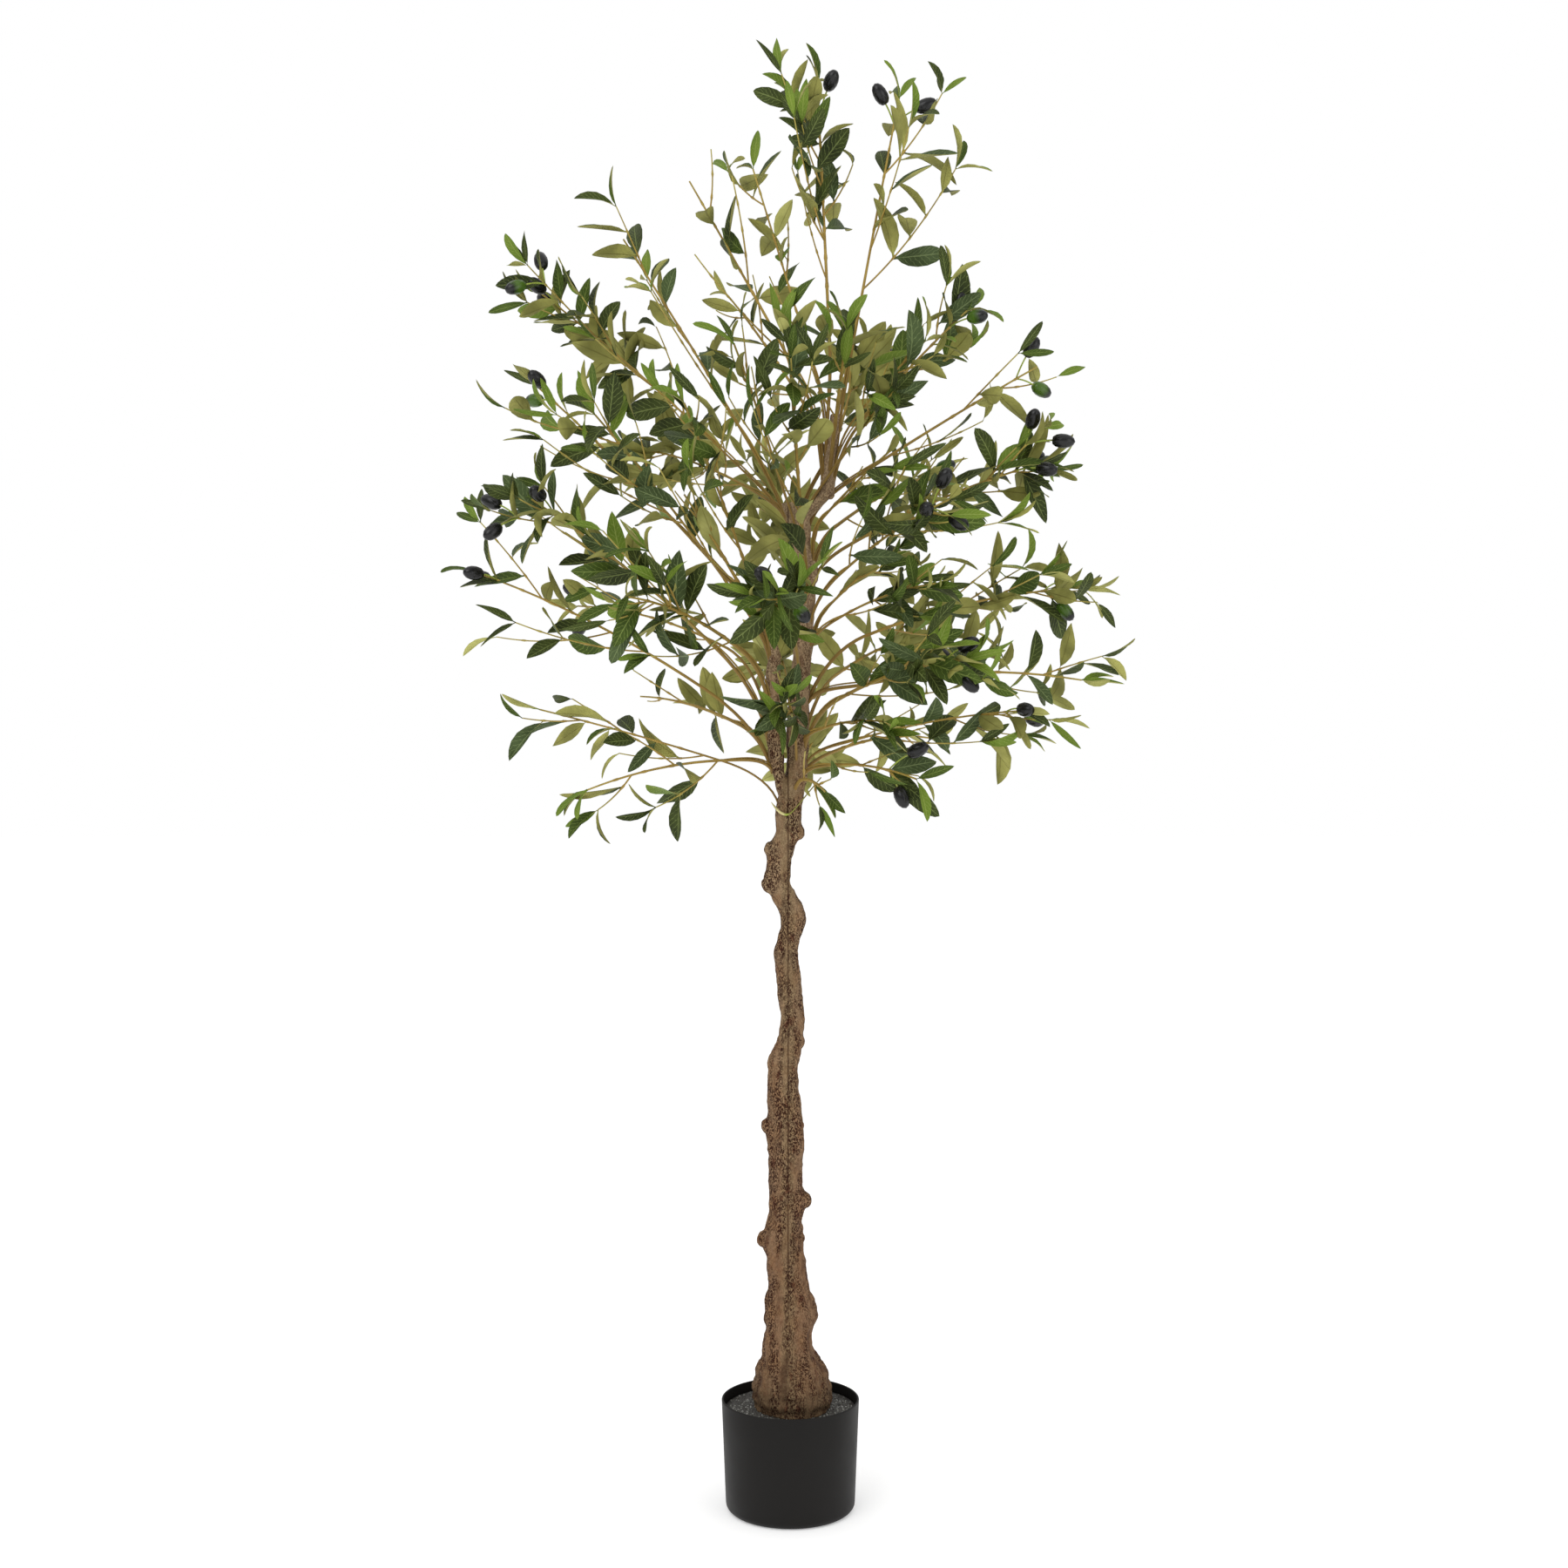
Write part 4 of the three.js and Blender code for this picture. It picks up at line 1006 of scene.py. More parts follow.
    def build(self) -> Object:
        """Casts the limbs as one skin and dresses it.

        Returns:
            The finished piece.
        """
        limbs = LIMBS.values()
        skins = [limb.smooth_skin(self.ring_step, self.sides, self.knot_least, self.knot_left)
                 for limb in limbs]
        skins[0] = (self.swollen(LIMBS["trunk"], skins[0][0]), skins[0][1])
        shape = merged([*skins, *(knot for limb in limbs for knot in self.knots(limb))])
        host = new_object("limb_casting", mesh_of("limb_casting", *shape))
        remesh = host.modifiers.new("casting", "REMESH")
        remesh.mode = "VOXEL"
        remesh.voxel_size = self.voxel
        remesh.use_smooth_shade = True
        values = {name.replace("_", " ").title(): getattr(self, name) for name in (
            "grain_depth", "grain_width", "grain_stretch", "lump_height", "lump_size", "pit_depth",
            "pit_size", "fold_height", "fold_width", "fold_foot", "fold_top", "seam_height", "seam_core",
            "seam_edge")}
        values |= {"Seam Place": self.finish.seam_place, "Bark": self.finish.material()}
        mesh = grown_by(self.relief_tree(values), "bark_limbs", evaluated_mesh(host), values)
        return finished_piece("bark_limbs", mesh, Slot.BARK, list(LIMBS))


@dataclass
class Pot:
    """The thin-walled round pot, with a rounded foot and a rolled rim."""

    finish: MouldedPot = field(default_factory=MouldedPot)
    wall: float = 0.0024
    taper: float = 0.005
    foot_round: float = 0.009
    floor: float = 0.004
    floor_inset: float = 0.004
    inner_slope: float = 0.85
    rim_depth: float = 0.02
    sides: int = 128
    round_steps: int = 6
    crease: float = 50.0

    def profile(self) -> list[Pair]:
        """Draws the pot's section, from the middle of its underside to the middle of its inside.

        Returns:
            The radius and height of each point.
        """
        low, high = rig.box("pot")
        rim, top = high.x, high.z
        foot = rim - self.taper
        quarter = [math.radians(90 * step / self.round_steps) for step in range(self.round_steps + 1)]
        corner = [(foot - self.foot_round * (1 - math.sin(a)), low.z + self.foot_round * (1 - math.cos(a)))
                  for a in quarter]
        half = self.wall / 2
        rim_turn = [(rim - half + half * math.cos(2 * a), top - half + half * math.sin(2 * a))
                    for a in quarter]
        inside = rim - self.wall
        return [(0.0, low.z), (foot * 0.5, low.z), *corner, *rim_turn, (inside, top - self.rim_depth),
                (inside - self.taper * self.inner_slope, self.foot_round),
                (inside - self.taper - self.floor_inset, self.floor), (0.0, self.floor)]

    def build(self) -> Object:
        """Turns the pot and dresses it.

        Returns:
            The finished piece.
        """
        mesh = mesh_of("pot_shell", *turned(self.profile(), self.sides))
        mesh.materials.append(self.finish.material())
        mesh.set_sharp_from_angle(angle=math.radians(self.crease))
        return finished_piece("pot_shell", mesh, Slot.POT, ["pot"])


@dataclass
class GravelFill:
    """The fill of the pot, covered with loose crushed stone."""

    stone: CrushedStone = CrushedStone("crushed_basalt", "4b4944", "d3d3cc", 0.5, 0.4)
    bed: CrushedStone = CrushedStone("glued_grit_bed", "3b3935", "605d55", 0.1, 0.7)
    spacing: float = 0.0027
    density: float = 170000.0
    stone_size: float = 0.0039
    size_range: Pair = (0.6, 1.15)
    chip_range: Pair = (0.72, 1.12)
    chip_shape: Triple = (1.0, 0.85, 0.62)
    shapes: int = 5
    seed: int = 11
    size_seed: int = 3
    share_seed: int = 5
    depth: float = 0.02
    wall_gap: float = 0.0008
    edge_round: float = 0.001
    edge_drop: float = 0.0015
    middle_share: float = 0.8
    flat_from: float = 0.9
    ripple: float = 0.0006
    rounds: int = 6
    sides: int = 64

    def stone_mesh(self, number: int) -> Mesh:
        """Makes one chip: an icosahedron of unit size with its corners pushed in and out.

        Args:
            number: Which of the shapes it is.

        Returns:
            The closed chip.
        """
        rng = np.random.default_rng(self.seed + number)
        golden = (1 + math.sqrt(5)) / 2
        corners = np.array([spot for a in (-1.0, 1.0) for b in (-golden, golden)
                            for spot in ((0.0, a, b), (a, b, 0.0), (b, 0.0, a))])
        points = corners / math.hypot(1, golden) * 0.5
        points *= rng.uniform(*self.chip_range, (len(points), 1)) * np.array(self.chip_shape)
        near = np.isclose(np.linalg.norm(corners[:, None] - corners[None], axis=2), 2.0)
        faces = []
        for a, b, c in combinations(range(len(points)), 3):
            if near[a, b] and near[b, c] and near[a, c]:
                out = np.dot(np.cross(points[b] - points[a], points[c] - points[a]), points[a])
                faces.append([a, b, c] if out > 0 else [a, c, b])
        chip = bpy.data.meshes.new(f"chip_{number}")
        chip.from_pydata(points.tolist(), [], faces)
        return chip

    def scatter_tree(self, values: Values) -> NodeTree:
        """Builds the tree that lays the chips on the bed.

        Args:
            values: What its named inputs will be given.

        Returns:
            The tree.
        """
        tree, add, given = new_tree("gravel_scatter", values)
        size = given.outputs
        split = add("SeparateXYZ", {0: add("GeometryNodeInputNormal")})
        top = add("FunctionNodeCompare", {0: split.outputs[2], 1: self.flat_from}, data_type="FLOAT",
                  operation="GREATER_THAN")
        points = add("GeometryNodeDistributePointsOnFaces",
                     {"Mesh": given, "Selection": top, "Distance Min": size["Spacing"],
                      "Density Max": size["Density"], "Seed": size["Seed"]}, distribute_method="POISSON")
        chips = add("GeometryNodeCollectionInfo",
                    {"Collection": size["Chips"], "Separate Children": True, "Reset Children": True})
        turn = add("FunctionNodeRandomValue", {0: (0.0,) * 3, 1: (math.tau,) * 3, "Seed": size["Seed"]},
                   data_type="FLOAT_VECTOR")
        growth, share = (
            add("FunctionNodeRandomValue", {2: low, 3: high, "Seed": seed}, data_type="FLOAT")
            for low, high, seed in ((*self.size_range, self.size_seed), (0.0, 1.0, self.share_seed)))
        scale = add("Math", {0: growth, 1: size["Chip Size"]}, operation="MULTIPLY")
        laid = add("GeometryNodeInstanceOnPoints",
                   {"Points": points, "Instance": chips, "Pick Instance": True, "Rotation": turn,
                    "Scale": scale})
        stored = add("GeometryNodeStoreNamedAttribute", {"Geometry": laid, "Name": "share", "Value": share},
                     data_type="FLOAT", domain="INSTANCE")
        real = add("GeometryNodeRealizeInstances", {0: stored})
        stones, bed = (add("GeometryNodeSetMaterial", {"Geometry": shape, "Material": size[name]})
                       for shape, name in ((real, "Stone"), (given, "Bed")))
        both = add("GeometryNodeJoinGeometry", {0: stones})
        tree.links.new(bed.outputs[0], both.inputs[0])
        add("NodeGroupOutput", {0: both})
        return tree

    def build(self) -> Object:
        """Fills the pot and lays the stones.

        Returns:
            The finished piece.
        """
        _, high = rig.box("soil")
        edge, level = high.x - self.wall_gap, high.z
        middle = LIMBS["trunk"].rings[0][:, 0].max() * self.middle_share
        profile = [(0.0, level - self.depth), (edge - self.edge_round, level - self.depth),
                   (edge, level - self.edge_drop),
                   *((edge - (edge - middle) * k / self.rounds, level + self.ripple * (k % 2))
                     for k in range(self.rounds + 1)), (0.0, level)]
        chips = bpy.data.collections.new("gravel_chips")
        for mesh in map(self.stone_mesh, range(self.shapes)):
            chips.objects.link(bpy.data.objects.new(mesh.name, mesh))
        values = {"Chips": chips, "Spacing": self.spacing, "Density": self.density, "Seed": self.seed,
                  "Chip Size": self.stone_size, "Stone": self.stone.material(), "Bed": self.bed.material()}
        bed = mesh_of("gravel_bed", *turned(profile, self.sides))
        mesh = grown_by(self.scatter_tree(values), "gravel_fill", bed, values)
        return finished_piece("gravel_fill", mesh, Slot.FILL, ["soil"])


# What chance starts from, and the factors and shifts that it mixes its keys with
SEED = 20617
WORD = 2**32
MIXERS = ((0x9E3779B1, 15), (0x85EBCA6B, 13))
# The twist in degrees, the cup and the wave of each form that a blade is pressed in, in each of its bends
BLADE_FORMS = ((-24.0, 0.26, 0.03), (6.0, 0.12, 0.05), (28.0, 0.36, 0.02))
BLADE_BENDS = 8


def chance(*keys: int) -> float:
    """Draws a number that depends only on whole-number keys.

    Args:
        keys: What the number is for.

    Returns:
        A number from 0 to 1, evenly spread.
    """
    value = SEED
    for key in keys:
        value ^= key + 1
        for factor, shift in MIXERS:
            value = value * factor % WORD
            value ^= value >> shift
    return value / WORD


def swing(*keys: int) -> float:
    """A number from -1 to 1 that depends only on the whole-number keys."""
    return 2 * chance(*keys) - 1


def within(limits: Pair, share: float) -> float:
    """A number between two limits, by a share from 0 to 1."""
    return limits[0] + (limits[1] - limits[0]) * share


def unit(vector: Vector) -> Vector:
    """The same direction, one long."""
    return vector / np.linalg.norm(vector)


def heading(bearing: float) -> Vector:
    """The horizontal direction of a bearing in degrees."""
    return np.array([math.cos(math.radians(bearing)), math.sin(math.radians(bearing)), 0.0])


def aside(ahead: Vector, reference: Vector, turn: float) -> Vector:
    """Finds a direction square to another one.

    Args:
        ahead: The other one.
        reference: The side that a turn of nought lies towards.
        turn: The turn round it, in degrees.

    Returns:
        The direction.
    """
    square = unit(reference - ahead * np.dot(reference, ahead))
    angle = math.radians(turn)
    return square * math.cos(angle) + np.cross(ahead, square) * math.sin(angle)


def leaning(ahead: Vector, reference: Vector, turn: float, tilt: float) -> Vector:
    """The direction that leans by a tilt from another one, at a turn round it, in degrees."""
    angle = math.radians(tilt)
    return ahead * math.cos(angle) + aside(ahead, reference, turn) * math.sin(angle)


def on_curve(curve: np.ndarray, share: float) -> tuple[Vector, Vector]:
    """Reads a three-point curve.

    Args:
        curve: Its points.
        share: Where on it.

    Returns:
        The point and direction there.
    """
    start, middle, end = curve
    point = start * (1 - share) ** 2 + middle * 2 * share * (1 - share) + end * share**2
    return point, unit((middle - start) * (1 - share) + (end - middle) * share)


def points_of(curve: np.ndarray, steps: int) -> np.ndarray:
    """Evenly spaced points of a curve, ends included."""
    return np.array([on_curve(curve, step / steps)[0] for step in range(steps + 1)])


@dataclass(frozen=True)
class Mass:
    """One foliage mass: the limb and height that its stem leaves, the stem's end and its fruit.

    Bearing, reach from the trunk's axis and tip height place the stem's end. Arch is how far the stem
    bows upwards as a share of its length, and fruit is the number of its fruited tips. Fine is how many
    finer shoots grow between the main ones, bare is the share of the stem that bears no leaves, and fill
    is the share of the other leaves that are on it.
    """

    name: str
    limb: str
    foot_height: float
    bearing: float
    reach: float
    tip_height: float
    arch: float
    fruit: int
    fine: int
    bare: float
    fill: float


MASSES = tuple(Mass(*row) for row in (
    ("low_left", "left_bough", 892, 176, 348, 988, 0.02, 0, 0, 0.4, 0.5),
    ("low_left_drop", "left_bough", 912, 195, 290, 872, 0.12, 0, 0, 0.55, 0.55),
    ("low_front", "trunk", 925, 268, 195, 1000, 0.1, 0, 2, 0.4, 1),
    ("low_front_right", "trunk", 888, 288, 165, 872, 0.12, 0, 1, 0.55, 0.5),
    ("low_right_front", "trunk", 902, 327, 215, 888, 0.14, 1, 2, 0.3, 0.45),
    ("low_right", "trunk", 918, 354, 335, 982, 0.08, 1, 1, 0.4, 0.9),
    ("low_back_right", "trunk", 905, 40, 290, 950, 0.14, 0, 1, 0.3, 0.4),
    ("low_back", "trunk", 892, 84, 250, 930, 0.14, 1, 2, 0.35, 1),
    ("low_back_left", "left_bough", 935, 138, 300, 1010, 0.1, 0, 0, 0.55, 0.2),
    ("mid_left", "left_bough", 945, 179, 424, 1165, 0.09, 1, 0, 0.5, 0.45),
    ("mid_left_front", "left_bough", 985, 197, 350, 1245, 0.08, 2, 5, 0.25, 0.65),
    ("mid_front_left", "left_bough", 1015, 227, 305, 1108, 0.14, 0, 4, 0.35, 0.85),
    ("mid_front", "trunk", 1020, 266, 255, 1112, 0.14, 1, 4, 0.3, 1),
    ("mid_front_right", "trunk", 960, 317, 305, 1035, 0.12, 1, 5, 0.3, 1),
    ("mid_right_low", "trunk", 988, 357, 394, 1014, 0.12, 0, 0, 0.5, 0.8),
    ("mid_right", "trunk", 1035, 12, 398, 1142, 0.1, 1, 5, 0.3, 0.7),
    ("mid_back_right", "trunk", 985, 50, 340, 1100, 0.12, 1, 3, 0.3, 1),
    ("mid_back", "trunk", 950, 94, 325, 1090, 0.12, 0, 4, 0.35, 1),
    ("mid_back_left", "left_bough", 1020, 149, 360, 1130, 0.12, 1, 0, 0.5, 0.4),
    ("high_left", "left_bough", 1088, 181, 338, 1400, 0.05, 1, 1, 0.3, 0.3),
    ("high_left_top", "stub_bough", 1212, 171, 345, 1525, 0.05, 2, 4, 0.3, 1),
    ("high_front_left", "left_bough", 1060, 207, 282, 1345, 0.05, 0, 3, 0.25, 0.65),
    ("high_front", "trunk", 1120, 268, 170, 1425, 0.06, 0, 8, 0.15, 1),
    ("high_front_right", "trunk", 1105, 319, 275, 1228, 0.1, 2, 4, 0.5, 0.65),
    ("high_right", "trunk", 1150, 356, 340, 1290, 0.08, 2, 8, 0.25, 0.9),
    ("high_right_top", "right_bough", 1236, 3, 338, 1420, 0.02, 1, 0, 0.6, 0.4),
    ("high_back_right", "trunk", 1170, 44, 300, 1310, 0.1, 1, 3, 0.4, 0.6),
    ("high_back", "trunk", 1130, 97, 275, 1310, 0.1, 1, 4, 0.25, 1),
    ("high_back_left", "stub_bough", 1216, 138, 300, 1340, 0.1, 0, 4, 0.3, 1),
    ("inner_low_right", "trunk", 942, 311, 200, 962, 0.1, 0, 5, 0.25, 1),
    ("inner_mid_left", "left_bough", 1076, 203, 160, 1265, 0.06, 0, 6, 0.15, 1),
    ("inner_mid_right", "trunk", 1078, 22, 175, 1205, 0.08, 0, 3, 0.2, 1),
    ("inner_front_right", "trunk", 1062, 322, 250, 1128, 0.12, 0, 2, 0.35, 0.8),
    ("inner_high_left", "left_bough", 1092, 222, 185, 1365, 0.04, 0, 7, 0.15, 1),
    ("inner_high_right", "trunk", 1186, 336, 160, 1310, 0.06, 0, 7, 0.15, 1),
    ("peak_left", "stub_bough", 1227, 181, 225, 1585, 0.03, 0, 0, 0.3, 0.55),
    ("peak_front_left", "stub_bough", 1221, 240, 155, 1430, 0.06, 0, 1, 0.4, 0.6),
    ("peak_right", "right_bough", 1290, 353, 243, 1487, 0.05, 1, 2, 0.35, 0.7),
    ("peak_front_right", "right_bough", 1262, 312, 205, 1360, 0.08, 0, 4, 0.25, 1),
    ("peak_inner_right", "right_bough", 1302, 338, 200, 1440, 0.06, 0, 1, 0.35, 0.8),
    ("peak_front", "right_bough", 1284, 300, 140, 1450, 0.05, 0, 3, 0.25, 1),
    ("peak_back_right", "right_bough", 1275, 58, 195, 1480, 0.06, 1, 3, 0.3, 1),
    ("peak_back_left", "right_bough", 1298, 124, 175, 1545, 0.06, 0, 0, 0.5, 0.5),
    ("crown_far_left", "right_bough", 1312, 184, 143, 1655, 0.02, 0, 0, 0.55, 0.38),
    ("crown_inner_left", "right_bough", 1324, 172, 58, 1678, 0, 0, 0, 0.45, 0.6),
    ("crown_left", "right_bough", 1335, 350, 32, 1776, 0, 1, 4, 0.14, 0.95),
    ("crown_right", "right_bough", 1318, 356, 140, 1760, 0.02, 1, 0, 0.6, 0.75),
))


@dataclass(frozen=True)
class GrowthRule:
    """How stems, shoots, leaves and olives grow: the rule of the solids, and how it is carried on.

    Lengths are in millimetres and angles in degrees. Each of the tie's places is a bearing, a height and a
    gap from the trunk's skin, and its radii and ages each go with a share of its length. A companion is
    the wire of a shoot beside its stem: its turns go by its number, by the share of the stem and by chance.
    """

    stem_radii: Pair = (2.1, 1.15)
    stem_range: Pair = (0.72, 1.28)
    shoot_radii: Pair = (1.15, 0.8)
    stem_start: float = 0.55
    stem_ages: Pair = (0.0, 0.8)
    heel_drop: Pair = (14.0, 62.0)
    heel_full_climb: float = 100.0
    heel_least_drop: float = 0.2
    heel_lowest: float = 846.0
    heel_depth: float = 0.75
    heel_steepness: Pair = (0.3, 0.8)
    heel_pulls: Pair = (0.34, 0.36)
    tip_allowance: float = 40.0
    bare: float = 0.3
    coarse_spacing: float = 50.0
    coarse_turn: float = 37.0
    shoot_count: int = 3
    shoot_range: Pair = (0.36, 0.82)
    shoot_length: Pair = (0.6, 0.17)
    shoot_trims: tuple[float, ...] = (1.0, 0.8, 0.62, 0.46)
    shoot_sweep: Pair = (28.0, 50.0)
    shoot_turn: float = 24.0
    shoot_bend: float = 0.5
    shoot_end: Triple = (0.82, 0.22, 0.06)
    shoot_faces: int = 3
    shoot_ages: Pair = (0.45, 1.0)
    spacing: float = 33.0
    node_turn: float = 82.0
    node_swell: float = 0.75
    node_reach: float = 2.4
    third_leaf: float = 0.3
    third_tip_leaf: float = 0.5
    lone_every: int = 3
    companion_turns: Triple = (150.0, 260.0, 90.0)
    companion_ages: Pair = (0.0, 0.5)
    fine_first: int = 11
    fine_range: Pair = (0.45, 0.93)
    fine_length: Pair = (0.34, 0.12)
    leaf_length: Pair = (58.0, 80.0)
    leaf_sizes: Pair = (1.05, 0.82)
    leaf_slimness: Pair = (0.29, 0.39)
    leaf_spread: Pair = (38.0, 72.0)
    leaf_turn: float = 26.0
    leaf_roll: float = 75.0
    leaf_bend: float = 1.2
    leaf_end: float = 0.97
    leaf_fall: float = 0.065
    leaf_tones: tuple[tuple[float, Tone], ...] = (
        (0.53, Tone.DARK), (0.79, Tone.BLUISH), (0.95, Tone.MIDDLE), (1.0, Tone.YOUNG))
    back_from: float = 90.0
    outward_turn: float = 0.35
    front_turn: float = 0.4
    peak_turn: float = 0.28
    peak_from: float = 1560.0
    low_turn: float = 0.45
    low_to: float = 950.0
    tip_share: float = 0.86
    tip_slimness: Pair = (0.16, 0.27)
    tip_spread: Pair = (14.0, 52.0)
    tip_bend: float = 0.6
    tip_tones: tuple[tuple[float, Tone], ...] = ((0.42, Tone.YOUNG), (0.72, Tone.MIDDLE), (1.0, Tone.DARK))
    end_leaf: int = 9
    end_spread: float = 10.0
    space_margin: float = 1.5
    limb_margin: float = 7.0
    olive_length: float = 28.0
    stalk_length: Pair = (22.0, 32.0)
    stalk_spread: Pair = (30.0, 58.0)
    stalk_radius: float = 1.05
    stalk_arch: float = 3.0
    stalk_sunk: float = 1.2
    stalk_ages: Pair = (0.2, 0.7)
    olive_droop: float = 0.25
    olives_per_tip: int = 2
    turning_share: float = 0.16
    tie_places: tuple[Triple, ...] = (
        (322, 893, 26), (312, 874, 15), (292, 855, 5), (268, 848, 3), (240, 850, 3), (215, 857, 5),
        (203, 863, 9))
    tie_radii: tuple[Pair, ...] = ((0.0, 0.7), (0.4, 0.9), (0.6, 1.8), (0.8, 1.6), (1.0, 0.2))
    tie_ages: tuple[Pair, ...] = ((0.0, 0.0), (0.48, 0.1), (0.6, 1.0))


@dataclass(frozen=True)
class TwigNode:
    """A place on a twig that bears leaves."""

    index: int
    share: float
    turn: float
    last: bool


@dataclass(frozen=True)
class Twig:
    """A stem or a shoot: its curve, and how it turns its leaves."""

    own: int
    branch: int
    curve: np.ndarray
    radii: Pair
    reference: Vector
    phase: float
    bare: float
    heel: np.ndarray | None = None
    heel_share: float = 0.22

    def at(self, share: float) -> tuple[Vector, Vector]:
        """Reads the twig, where a stem's heel hugs its limb first.

        Args:
            share: Where on it.

        Returns:
            The point and direction there.
        """
        if self.heel is None or share >= self.heel_share:
            return on_curve(self.curve, share)
        t = share / self.heel_share
        first, second, third, fourth = self.heel
        left = 1 - t
        point = first * left**3 + second * 3 * t * left**2 + third * 3 * t**2 * left + fourth * t**3
        ahead = (second - first) * left**2 + (third - second) * 2 * t * left + (fourth - third) * t**2
        return point, unit(ahead)

    @property
    def length(self) -> float:
        """The twig's length, near enough, from end to end."""
        return float(np.linalg.norm(self.curve[2] - self.curve[0]))

    def nodes(self, bare: float, spacing: float, turn: float) -> list[TwigNode]:
        """The places that bear leaves.

        Args:
            bare: The share of the twig that bears none.
            spacing: How far apart they are.
            turn: How far each is turned from the one before it, in degrees.

        Returns:
            The places from foot to tip.
        """
        count = max(1, round(self.length * (1 - bare) / spacing))
        return [TwigNode(k, bare + (1 - bare) * k / count, self.phase + turn * k, k == count)
                for k in range(count + 1)]


@dataclass
class Sprays:
    """What has grown: the leaves, olives and wires, as rows for the trees that make them.

    A leaf has its root, its way, its upper side, its size, its form and its tone. An olive has its top, its
    way and its ripeness. A wire or stalk has its points, radii and ages.
    """

    leaves: dict[Tier, list[Leaf]] = field(default_factory=dict)
    olives: list[tuple[Vector, Vector, int]] = field(default_factory=list)
    wires: list[Wire] = field(default_factory=list)
    stalks: list[Wire] = field(default_factory=list)


@dataclass
class Crown:
    """The crown: each mass grows from its limb inside its own space."""

    rule: GrowthRule = field(default_factory=GrowthRule)
    sprays: Sprays = field(default_factory=Sprays)
    space_steps: int = 12
    wire_steps: int = 14
    heel_steps: int = 9
    swell_steps: tuple[float, ...] = (-1.8, -0.5, 0.8, 2.0)
    companion_steps: int = 12
    stalk_steps: int = 6
    tie_steps: int = 24

    def __post_init__(self) -> None:
        """Places the stems, which divide the crown into the masses' spaces."""
        self.stems = [self.stem_curve(mass) for mass in MASSES]
        lines = np.stack([points_of(curve, self.space_steps) for curve in self.stems])
        self.starts = lines[:, :-1]
        self.runs = lines[:, 1:] - lines[:, :-1]
        centres, radii = zip(*(limb.line for limb in LIMBS.values()))
        self.limb_centres, self.limb_radii = np.concatenate(centres), np.concatenate(radii)

    def stem_curve(self, mass: Mass) -> np.ndarray:
        """Draws a mass's main stem, from inside its limb to the stem's end.

        Args:
            mass: The mass.

        Returns:
            The three points of its curve.
        """
        centre, radius = LIMBS[mass.limb].at(mass.foot_height)
        furthest = heading(mass.bearing) * mass.reach + UP * mass.tip_height
        start = centre + unit((furthest - centre) * LEVEL) * radius * self.rule.stem_start
        end = furthest - unit(furthest - start) * self.rule.tip_allowance
        middle = (start + end) / 2 + UP * mass.arch * np.linalg.norm(end - start)
        return np.stack([start, middle, end])

    def heel(self, mass: Mass, curve: np.ndarray, outward: Vector) -> np.ndarray:
        """Draws the first stretch of a stem, which climbs along its limb before it parts from it.

        Args:
            mass: The mass.
            curve: The stem's curve.
            outward: The horizontal way out of the limb.

        Returns:
            The four points of the heel's own curve.
        """
        number = MASSES.index(mass)
        climb = (mass.tip_height - mass.foot_height) / self.rule.heel_full_climb
        climb = min(1.0, max(self.rule.heel_least_drop, climb))
        drop = within(self.rule.heel_drop, chance(number, 13)) * climb
        height = max(mass.foot_height - drop, self.rule.heel_lowest)
        limb = LIMBS[mass.limb]
        if height < limb.line[0][1, 2]:
            limb = LIMBS["trunk"]
        centre, radius = limb.at(height)
        start = centre * LEVEL + UP * height + outward * radius * self.rule.heel_depth
        end, ahead = on_curve(curve, Twig.heel_share)
        span = np.linalg.norm(end - start)
        steepness = within(self.rule.heel_steepness, chance(number, 14))
        rise = unit(UP * steepness + unit(end - start) * (1.1 - steepness))
        first, last = self.rule.heel_pulls
        return np.stack([start, start + rise * span * first, end - ahead * span * last, end])

    def fits(self, spots: np.ndarray, own: int) -> bool:
        """Whether all of these points keep to a mass's space and clear of the limbs.

        Args:
            spots: The points, in millimetres.
            own: The mass's number.

        Returns:
            Whether they fit.
        """
        limb_gaps = np.linalg.norm(spots[:, None] - self.limb_centres[None], axis=2) - self.limb_radii
        if limb_gaps.min() < self.rule.limb_margin:
            return False
        offsets = spots[:, None, None] - self.starts
        shares = np.clip((offsets * self.runs).sum(-1) / (self.runs**2).sum(-1), 0, 1)
        gaps = np.linalg.norm(offsets - shares[..., None] * self.runs, axis=-1).min(-1)
        home = gaps[:, own].copy()
        gaps[:, own] = np.inf
        return bool((gaps.min(axis=1) > home + self.rule.space_margin).all())

    def shoot(self, stem: Twig, node: TwigNode, face: int, branch: int, length: float) -> Twig:
        """Draws a shoot from one face of a stem's node.

        Args:
            stem: The stem.
            node: The node.
            face: Which of the faces round it.
            branch: The shoot's number.
            length: Its length.

        Returns:
            The shoot.
        """
        rule, keys = self.rule, (stem.own, branch)
        point, ahead = on_curve(stem.curve, node.share)
        turn = node.turn + 360 * face / rule.shoot_faces + rule.shoot_turn * (chance(*keys, 4) - 0.5)
        out = leaning(ahead, stem.reference, turn, within(rule.shoot_sweep, chance(*keys, 3)))
        outwards, onwards, upwards = rule.shoot_end
        curve = np.stack([point, point + out * length * rule.shoot_bend,
                          point + (out * outwards + ahead * onwards + UP * upwards) * length])
        return Twig(stem.own, branch, curve, rule.shoot_radii, ahead, 360 * chance(*keys, 2), rule.bare)

